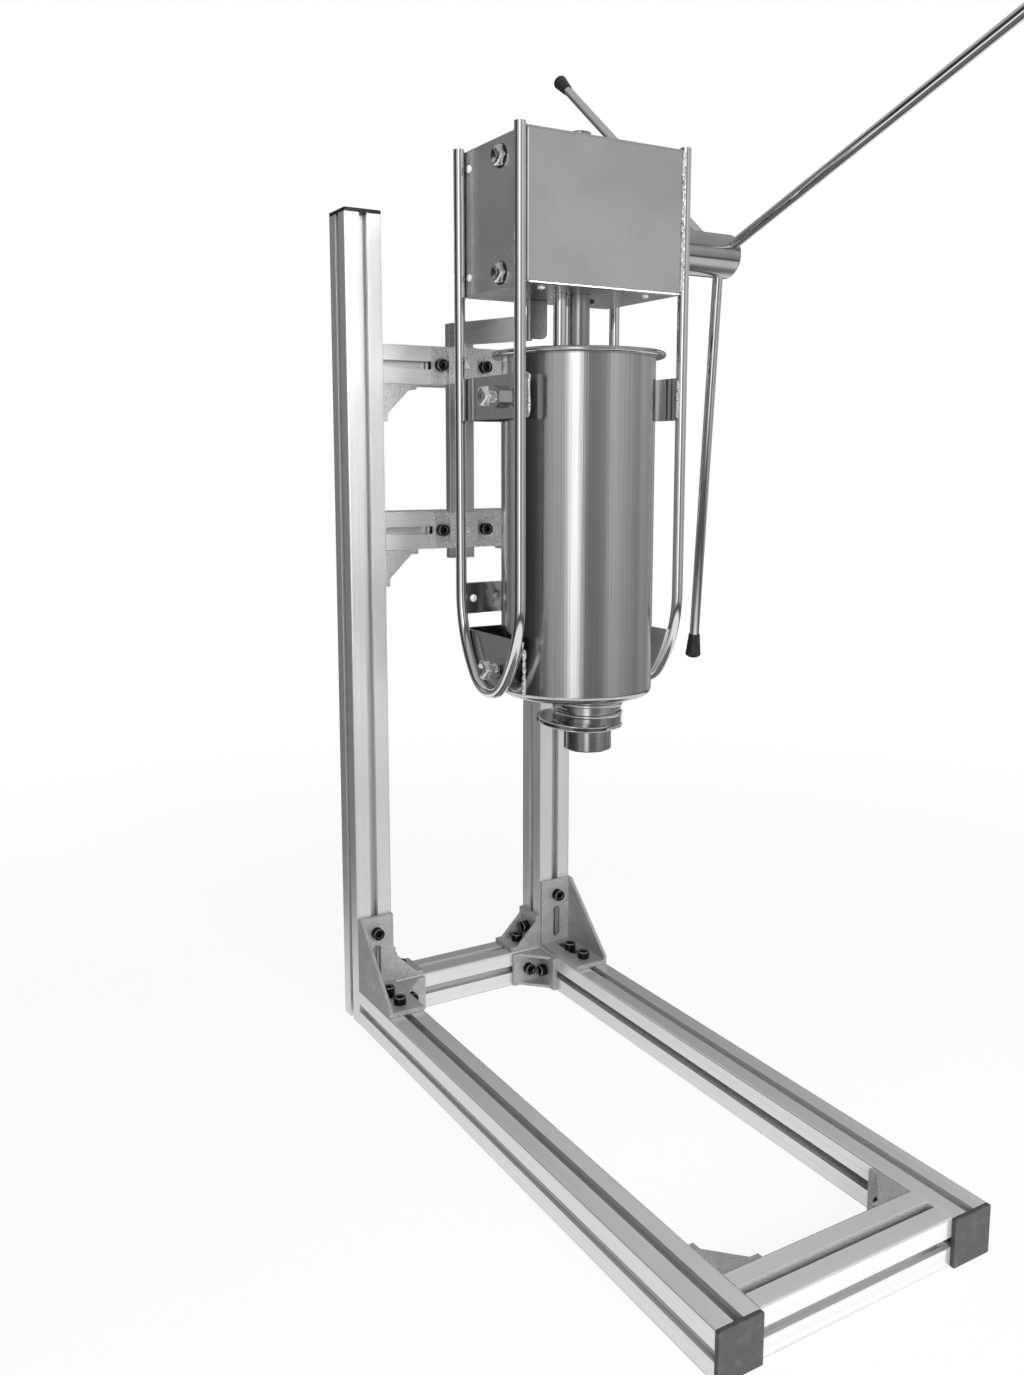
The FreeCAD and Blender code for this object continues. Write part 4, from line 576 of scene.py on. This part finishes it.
def turned_mesh(mesh, tip, outward, sections, sides=48, wear_and_highlight=()):
    """Adds a closed turned shape; a section is (depth below the tip, radius, hexagon share) in mm.

    The bands after the listed sections take the second material, which paints a highlight on them."""
    side = Vector((1, 0, 0)) if abs(outward.z) > 0.5 else Vector((0, 0, 1))
    other = outward.cross(side)
    rings = []
    for depth, radius, hexagon in sections:
        ring = []
        for turn in turns(sides):
            flat = (turn % (math.pi / 3)) - math.pi / 6
            reach = radius * MM * (1 - hexagon + hexagon / math.cos(math.pi / 6 - abs(flat)))
            ring.append(mesh.verts.new(tip - outward * (depth * MM)
                                       + (side * math.cos(turn) + other * math.sin(turn)) * reach))
        rings.append(ring)
    for band, (outer, inner) in enumerate(zip(rings, rings[1:])):
        for k in range(sides):
            face = mesh.faces.new((outer[k], inner[k], inner[(k + 1) % sides], outer[(k + 1) % sides]))
            face.material_index = int(band in wear_and_highlight)
    mesh.faces.new(rings[0])
    mesh.faces.new(rings[-1][::-1])


def new_screws(node, body, slot, sections_of, finish, wear_and_highlight=(), sides=48):
    """Takes the place of a node's plain screws with turned ones, head and thread."""
    mesh = bmesh.new()
    for tip, outward, length in head_ends(node):
        turned_mesh(mesh, tip, outward, sections_of(length / MM), sides, wear_and_highlight)
    face_outward(mesh)
    # the second finish paints highlight rings on the listed bands
    finishes = (finish, painted_highlight_black) if wear_and_highlight else (finish,)
    piece = add_piece(mesh, node + "_turned", body, slot, *finishes, sharp=34)
    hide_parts(node)


WASHER_BORE, WASHER_THICKNESS, WASHER_CHAMFER = 5.2, 0.7, 0.4


def painted_shade_washers(node, body, depth, radius):
    """Near-black washer under every head of a node, a painted shade ring round the head; its underside lies
    at depth below the head's tip.
    """
    mesh = bmesh.new()
    top = depth - WASHER_THICKNESS
    for tip, outward, _ in head_ends(node):
        turned_mesh(mesh, tip, outward, [(top, WASHER_BORE, 0), (top, radius - WASHER_CHAMFER, 0),
                                         (top + WASHER_CHAMFER, radius, 0), (depth, radius, 0),
                                         (depth, WASHER_BORE, 0)])
    face_outward(mesh)
    add_piece(mesh, node + "_painted_shade_washers", body, "spring_steel", spring, smooth=False)


def hexagon_bolt(length):
    """M10 bolt: dished hexagon head with chamfers, then thread ridges."""
    head = [(1.9, 0.3, 0), (1.8, 1.2, 0), (1.2, 3.2, 0), (0.2, 5.2, 0), (0.0, 5.9, 0), (0.4, 7.0, 0.05),
            (1.5, 8.2, 0.5), (2.9, 8.5, 1), (5.6, 8.5, 1), (6.0, 8.3, 0.8), (6.4, 8.0, 0.7), (6.4, 5.0, 0)]
    crest, root, pitch = 4.95, 4.3, 1.5
    thread = []
    depth = 6.9
    while depth < length - 1.6:
        thread += [(depth, crest, 0), (depth + 0.6, root, 0), (depth + 0.9, root, 0)]
        depth += pitch
    return head + thread + [(length - 0.9, 4.9, 0), (length, 4.1, 0)]


def pan_screw(length):
    """M4 screw with a domed head."""
    return [(0.0, 0.3, 0), (0.12, 1.4, 0), (0.5, 2.5, 0), (1.1, 3.3, 0), (1.7, 3.6, 0), (2.2, 3.6, 0),
            (2.2, 2.0, 0), (length, 1.9, 0)]


def round_end(length):
    """Set screw with a rounded outer end."""
    return [(0.0, 0.3, 0), (0.15, 1.4, 0), (0.7, 2.6, 0), (1.6, 3.5, 0), (2.4, 3.95, 0), (length, 3.95, 0)]


def socket_screw(length):
    """M8 socket screw: hexagon socket, head with a rounded rim, plain shank."""
    return [(4.0, 0.3, 0), (4.0, 3.0, 1), (0.45, 3.0, 1), (0.0, 3.5, 0.8), (0.0, 5.5, 0), (0.35, 6.1, 0),
            (1.0, 6.5, 0), (7.7, 6.5, 0), (8.0, 6.2, 0), (8.0, 3.95, 0), (length, 3.95, 0)]


# these bands take the paler black, a painted highlight ring
SOCKET_HIGHLIGHT_BANDS = (2, 4, 5)     # bands of socket_screw: the socket's chamfer and the head's rounded edge

new_screws("frame_bolts", "machine_frame", "black_oxide_steel", socket_screw, black_oxide, SOCKET_HIGHLIGHT_BANDS,
           sides=36)
# near-black rings round these heads are painted shade
painted_shade_washers("bar_set_screws", "machine_frame", 9.1, 5.2)
painted_shade_washers("guide_bolts", "machine_frame", 6.4, 10.2)
new_screws("guide_bolts", "machine_frame", "zinc_plated_steel", hexagon_bolt, bolt_polish)
new_screws("cover_screws", "machine_frame", "zinc_plated_steel", pan_screw, glint_zinc)
new_screws("bar_set_screws", "machine_frame", "zinc_plated_steel", round_end, glint_zinc)
new_screws("upper_clamp_screw", "upper_screw", "zinc_plated_steel", hexagon_bolt, clamp_nut)
new_screws("lower_clamp_screw", "lower_screw", "zinc_plated_steel", hexagon_bolt, clamp_nut)


# ---------------------------------------------------------------- outlet
def half_round(start, width, inner, proud):
    """Outline of one rounded bead, as (depth, radius)."""
    return [(start + width / 2 * (1 - math.cos(a)), inner + proud * math.sin(a))
            for a in (math.pi * k / 8 for k in range(9))]


def ring_point(turn, radius, height):
    """Point at an angle about an upright axis; takes mm and gives metres."""
    return Vector((radius * math.cos(turn), radius * math.sin(turn), height)) * MM


def round_wire(name, body, slot, path, radius, closed, sides=12):
    """Smooth wire along a list of points, in metres; an open one gets thinner towards its ends."""
    mesh = bmesh.new()
    rings = []
    count = len(path)
    for i, point in enumerate(path):
        ahead = path[(i + 1) % count] if closed or i + 1 < count else point
        behind = path[i - 1] if closed or i else point
        along = (ahead - behind).normalized()
        side = along.cross(Vector((0, 0, 1))).normalized()
        other = side.cross(along)
        end = 1 if closed else min(1, 0.15 + min(i, count - 1 - i) / 6)
        rings.append([mesh.verts.new(point + (side * math.cos(turn) + other * math.sin(turn)) * radius * end)
                      for turn in turns(sides)])
    skin(mesh, rings, closed)
    face_outward(mesh)
    add_piece(mesh, name, body, slot, bead_polish)


outlet_low, outlet_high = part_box("nozzle")
outlet = Vector(((outlet_low[0] + outlet_high[0]) / 2, (outlet_low[1] + outlet_high[1]) / 2, 0))

# coarse thread on the collar between the cylinder and the nut
THREAD_TOP, THREAD_PITCH, THREAD_TURNS = 388.6, 4.6, 1.55
THREAD_RADIUS, THREAD_WIRE = 30.6, 1.75
STEPS_A_TURN = 96
coil = [outlet + ring_point(turn, THREAD_RADIUS, THREAD_TOP - THREAD_PITCH * turn / (2 * math.pi))
        for turn in turns(STEPS_A_TURN, round(THREAD_TURNS * STEPS_A_TURN) + 1)]
round_wire("collar_thread", "machine_frame", "cylinder_stainless", coil, THREAD_WIRE * MM, closed=False)

# two rounded beads about the ring nut
NUT_BEAD_TOPS = (-0.3, 11.4)    # depths below the nut's top
NUT_BEAD_WIDTH, NUT_BEAD_ROOT, NUT_BEAD_PROUD, NUT_INSIDE = 3.4, 30.8, 1.3, 29.0
nut_trim = [(NUT_BEAD_TOPS[0], NUT_INSIDE)]
for top in NUT_BEAD_TOPS:
    nut_trim += half_round(top, NUT_BEAD_WIDTH, NUT_BEAD_ROOT, NUT_BEAD_PROUD)
nut_trim.append((NUT_BEAD_TOPS[-1] + NUT_BEAD_WIDTH, NUT_INSIDE))
rim = bmesh.new()
nut_top = Vector((outlet.x, outlet.y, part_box("outlet_ring_nut")[1][2]))
turned_mesh(rim, nut_top, Vector((0, 0, 1)), [(depth, radius, 0) for depth, radius in nut_trim], sides=96)
face_outward(rim)
add_piece(rim, "ring_nut_rim", "ring_nut", "turned_stainless", bead_polish, sharp=60)

# rolled rims of the tilted wing
WING_MIDDLE = (-15, 0, 366)     # from the floor below the outlet's axis
WING_RADIUS, WING_WIRE = 34.6, 0.75
WING_TILT = math.radians(6)
TILT_AXIS = math.radians(40)    # level line, counted from +X
wing_middle = outlet + Vector(WING_MIDDLE) * MM
tilt = Matrix.Rotation(WING_TILT, 3, Vector((math.cos(TILT_AXIS), math.sin(TILT_AXIS), 0)))
for name, rise in (("lower", 0.6), ("upper", 4.4)):
    path = [wing_middle + tilt @ ring_point(turn, WING_RADIUS, rise) for turn in turns(144)]
    round_wire(f"wing_{name}_rim", "ring_nut", "turned_stainless", path, WING_WIRE * MM, closed=True)


# ---------------------------------------------------------------- welds
BEAD_STEP = 0.55 * MM       # between the rings of a bead
BEAD_SIDES = 12


def weld_bead(name, x, y, low, high, radius, seed, rough=1.0, finish=weld_metal):
    """Upright run of weld metal."""
    run_bead(name, (x, y, low), (x, y, high), radius, seed, rough, finish)


def run_bead(name, start, stop, radius, seed, rough, finish):
    """Rippled run of metal with rounded ends along a straight joint; rough 0 makes it smooth."""
    rand = random.Random(seed)
    start, stop = Vector(start), Vector(stop)
    along = (stop - start).normalized()
    side = along.orthogonal().normalized()
    other = along.cross(side)
    length = (stop - start).length
    count = max(8, round(length / BEAD_STEP))
    mesh = bmesh.new()
    rings = []
    swell = 1.0
    drift = Vector((0, 0))
    for i in range(count + 1):
        t = i / count
        swell += (1.0 - swell) * 0.25 + rand.uniform(-0.16, 0.16) * rough
        drift = drift * 0.8 + Vector((rand.uniform(-1, 1), rand.uniform(-1, 1))) * radius * 0.09 * rough
        ripple = 1 + 0.10 * rough * math.cos(i * 2.1)
        taper = min(1, math.sqrt(max(0.02, min(t, 1 - t) * length / (radius * 1.4))))
        reach = radius * swell * ripple * taper
        centre = start + along * (t * length) + side * drift.x + other * drift.y
        ring = []
        for turn in turns(BEAD_SIDES):
            wobble = reach * (1 + rand.uniform(-0.07, 0.07) * rough)
            ring.append(mesh.verts.new(centre + (side * math.cos(turn) + other * math.sin(turn)) * wobble))
        rings.append(ring)
    skin(mesh, rings)
    add_piece(mesh, name, "machine_frame", "stainless_band", finish)


ROD_RADIUS = 5 * MM
left_leg, right_leg = (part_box("side_frame_" + side) for side in ("left", "right"))
leg_y = left_leg[0][1] + ROD_RADIUS
inner_left, inner_right = left_leg[1][0], right_leg[0][0]
gear_low, gear_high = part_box("gearbox_front_cover")
upper_low, upper_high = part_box("upper_yoke")
lower_low, lower_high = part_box("lower_yoke")
weld_bead("weld_gearbox_right", inner_right + 0.2 * MM, leg_y - 3.4 * MM,
          gear_low[2] + 2 * MM, gear_high[2] - 1 * MM, 1.8 * MM, seed=3)
weld_bead("weld_gearbox_left", inner_left + 1.0 * MM, leg_y - 3.4 * MM,
          gear_low[2] + 1 * MM, gear_high[2] - 1 * MM, 1.2 * MM, seed=5, rough=0.02, finish=bead_polish)
# pale rod along the front cover's lower edge, a painted highlight for the sheet's fold
fold_y, fold_z = gear_low[1] + 0.5 * MM, gear_low[2] + 0.9 * MM
run_bead("gearbox_lower_edge", (inner_left + 1.6 * MM, fold_y, fold_z),
         (inner_right - 1.6 * MM, fold_y, fold_z), 0.7 * MM, seed=6, rough=0.0, finish=glint_zinc)
weld_bead("weld_upper_yoke_left", inner_left + 3.0 * MM, upper_low[1] - 0.6 * MM,
          upper_low[2] + 1 * MM, upper_high[2] - 1 * MM, 1.25 * MM, seed=11, rough=1.6)
weld_bead("weld_upper_yoke_right", inner_right - 0.6 * MM, leg_y - 1.6 * MM,
          upper_low[2] + 2 * MM, upper_high[2] - 2 * MM, 1.7 * MM, seed=12)
weld_bead("weld_lower_yoke_left", inner_left + 2.6 * MM, lower_low[1] - 0.4 * MM,
          lower_low[2] + 2 * MM, lower_high[2] - 6 * MM, 1.7 * MM, seed=21, rough=1.2)


# ---------------------------------------------------------------- studio
# what metal sees round about: (compass angle from +Y towards +X in degrees, brightness)
WALLS = [(-180, 0.25), (-160, 0.24), (-154, 0.55), (-148, 1.6), (-139, 1.7), (-131, 0.7), (-126, 0.5),
         (-106, 0.48), (-98, 0.18), (-78, 0.05), (-50, 0.02), (-43, 0.1), (-35, 0.36), (-29, 0.3),
         (-22, 0.06), (-8, 0.06), (4, 0.16), (44, 0.16), (54, 0.42), (66, 0.55), (82, 0.34), (101, 0.42),
         (112, 0.3), (130, 0.4), (146, 0.48), (153, 0.56), (159, 0.54), (166, 0.56), (172, 0.28)]
# and over the walls, each fading in between two heights of the ray: (brightness, start, stop)
LEVELS = [(0.12, 0.28, 0.38),       # dark band above the walls
          (0.46, 0.40, 0.56),       # pale ceiling
          (0.1, -0.21, -0.29),      # dark band below the walls
          (0.92, -0.33, -0.42),     # bright table in front
          (0.12, -0.66, -0.80)]     # dark spot straight down
WALLS_AT_LEVEL = 1.05               # factor on the walls for a level ray; it grows as the ray rises
DIFFUSE_FILL = 0.22                 # even light for all rays but glossy ones


def studio_world():
    """White to the eye; metal sees a dark room with bright panels and a bright table in front."""
    world = bpy.data.worlds.new("studio")
    w = Graph(world, empty=True)
    split = w.node("ShaderNodeSeparateXYZ")
    w.link(w.node("ShaderNodeTexCoord").outputs["Generated"], split.inputs[0])
    height = split.outputs["Z"]
    angle = w.math("ARCTAN2", split.outputs["X"], split.outputs["Y"])
    around = w.math("ADD", w.math("DIVIDE", angle, 2 * math.pi), 0.5)
    ramp = w.node("ShaderNodeValToRGB")
    ramp.color_ramp.interpolation = "EASE"
    elements = ramp.color_ramp.elements
    while len(elements) > 1:
        elements.remove(elements[-1])
    for index, (degrees, level) in enumerate(WALLS):
        element = elements[0] if index == 0 else elements.new((degrees + 180) / 360)
        element.position = (degrees + 180) / 360
        element.color = (level, level * 0.995, level * 0.985, 1)
    w.link(around, ramp.inputs["Fac"])

    walls = w.node("ShaderNodeVectorMath", operation="SCALE")
    w.link(ramp.outputs["Color"], walls.inputs[0])
    w.link(w.math("ADD", height, WALLS_AT_LEVEL), walls.inputs["Scale"])
    room = walls.outputs[0]
    for level, start, stop in LEVELS:
        mix = w.node("ShaderNodeMix", data_type="RGBA")
        w.link(w.spread(height, 0, 1, start, stop, interpolation_type="SMOOTHSTEP"), mix.inputs["Factor"])
        w.link(room, mix.inputs["A"])
        mix.inputs["B"].default_value = (level, level * 0.99, level * 0.975, 1)
        room = mix.outputs["Result"]

    glossy = w.node("ShaderNodeBackground")
    w.link(room, glossy.inputs["Color"])
    fill = w.coloured("ShaderNodeBackground", DIFFUSE_FILL)
    white = w.coloured("ShaderNodeBackground", 1)
    is_glossy = w.node("ShaderNodeLightPath").outputs["Is Glossy Ray"]
    light = w.mix_shaders(is_glossy, fill.outputs[0], glossy.outputs[0])
    seen = w.mix_shaders(w.background_rays(), light, white.outputs[0])
    w.link(seen, w.node("ShaderNodeOutputWorld").inputs["Surface"])
    scene.world = world


FLOOR_RADIUS = 2.0
FLOOR_PLACE = (0, -0.3, -0.0005)
SHADOW_RADIUS = 0.55        # beyond it the shadow starts to fade
GLOW_SHARE = 0.92           # share of plain white within that radius; the rest takes the shadow


def studio_floor():
    """White floor that keeps a faint shadow, which fades out towards the rim."""
    grid = bmesh.new()
    bmesh.ops.create_circle(grid, cap_ends=True, radius=FLOOR_RADIUS, segments=96)
    mesh = bpy.data.meshes.new("floor")
    grid.to_mesh(mesh)
    grid.free()
    floor = bpy.data.objects.new("floor", mesh)
    floor.location = FLOOR_PLACE
    floor.visible_glossy = False
    scene.collection.objects.link(floor)
    material = bpy.data.materials.new("white_floor")
    g = Graph(material, empty=True)
    reach = g.node("ShaderNodeVectorMath", operation="LENGTH")
    g.link(g.node("ShaderNodeTexCoord").outputs["Object"], reach.inputs[0])
    fade = g.spread(reach.outputs["Value"], GLOW_SHARE, 1.0, SHADOW_RADIUS, FLOOR_RADIUS * 0.9,
                    interpolation_type="SMOOTHSTEP")
    diffuse = g.coloured("ShaderNodeBsdfDiffuse", 0.86)
    glow = g.coloured("ShaderNodeEmission", 1)
    mixed = g.mix_shaders(g.math("MULTIPLY", g.background_rays(), fade), diffuse.outputs[0], glow.outputs[0])
    g.link(mixed, g.node("ShaderNodeOutputMaterial").inputs["Surface"])
    mesh.materials.append(material)


def soft_box(name, place, aim, width, height, watts, spread=180):
    """Rectangular lamp that metal doesn't mirror; spread is in degrees."""
    light = bpy.data.lights.new(name, "AREA")
    light.shape = "RECTANGLE"
    light.size = width
    light.size_y = height
    light.energy = watts
    light.spread = math.radians(spread)
    lamp = bpy.data.objects.new(name, light)
    lamp.location = place
    lamp.rotation_euler = (Vector(aim) - Vector(place)).to_track_quat("-Z", "Y").to_euler()
    lamp.visible_glossy = False
    scene.collection.objects.link(lamp)


studio_world()
studio_floor()
soft_box("key_box", (-0.3, -2.2, 0.9), (0, -0.1, 0.5), 1.2, 1.0, 64)
soft_box("fill_box", (1.9, -1.9, 1.1), (0, -0.25, 0.5), 1.2, 1.6, 10)
soft_box("upper_box", (-0.10, -0.95, 1.05), (-0.11, 0, 0.75), 0.3, 0.3, 1.6, spread=42)

# the photographed view, fitted to the stand's edges
CAMERA_PLACE = (-0.6100, -1.1349, 0.60465)
CAMERA_AZIMUTH = 30.445     # degrees from +Y towards +X
CAMERA_FALL = 8.04          # degrees below level
FOCAL_PIXELS = 1190.64      # in pixels of the photo, as are the next two
FRAME_HEIGHT = 1375
CENTRE_RISE = -57.5         # of the frame's centre over the optical axis
SENSOR = 36.0               # mm
camera_data = bpy.data.cameras.new("camera")
camera_data.sensor_width = SENSOR
camera_data.lens = FOCAL_PIXELS * SENSOR / FRAME_HEIGHT
camera_data.shift_y = CENTRE_RISE / FRAME_HEIGHT
camera_data.clip_start = 0.02
camera_data.clip_end = 60
camera = bpy.data.objects.new("camera", camera_data)
camera.location = CAMERA_PLACE
camera.rotation_euler = (math.radians(90 - CAMERA_FALL), 0, math.radians(-CAMERA_AZIMUTH))
scene.collection.objects.link(camera)
scene.camera = camera
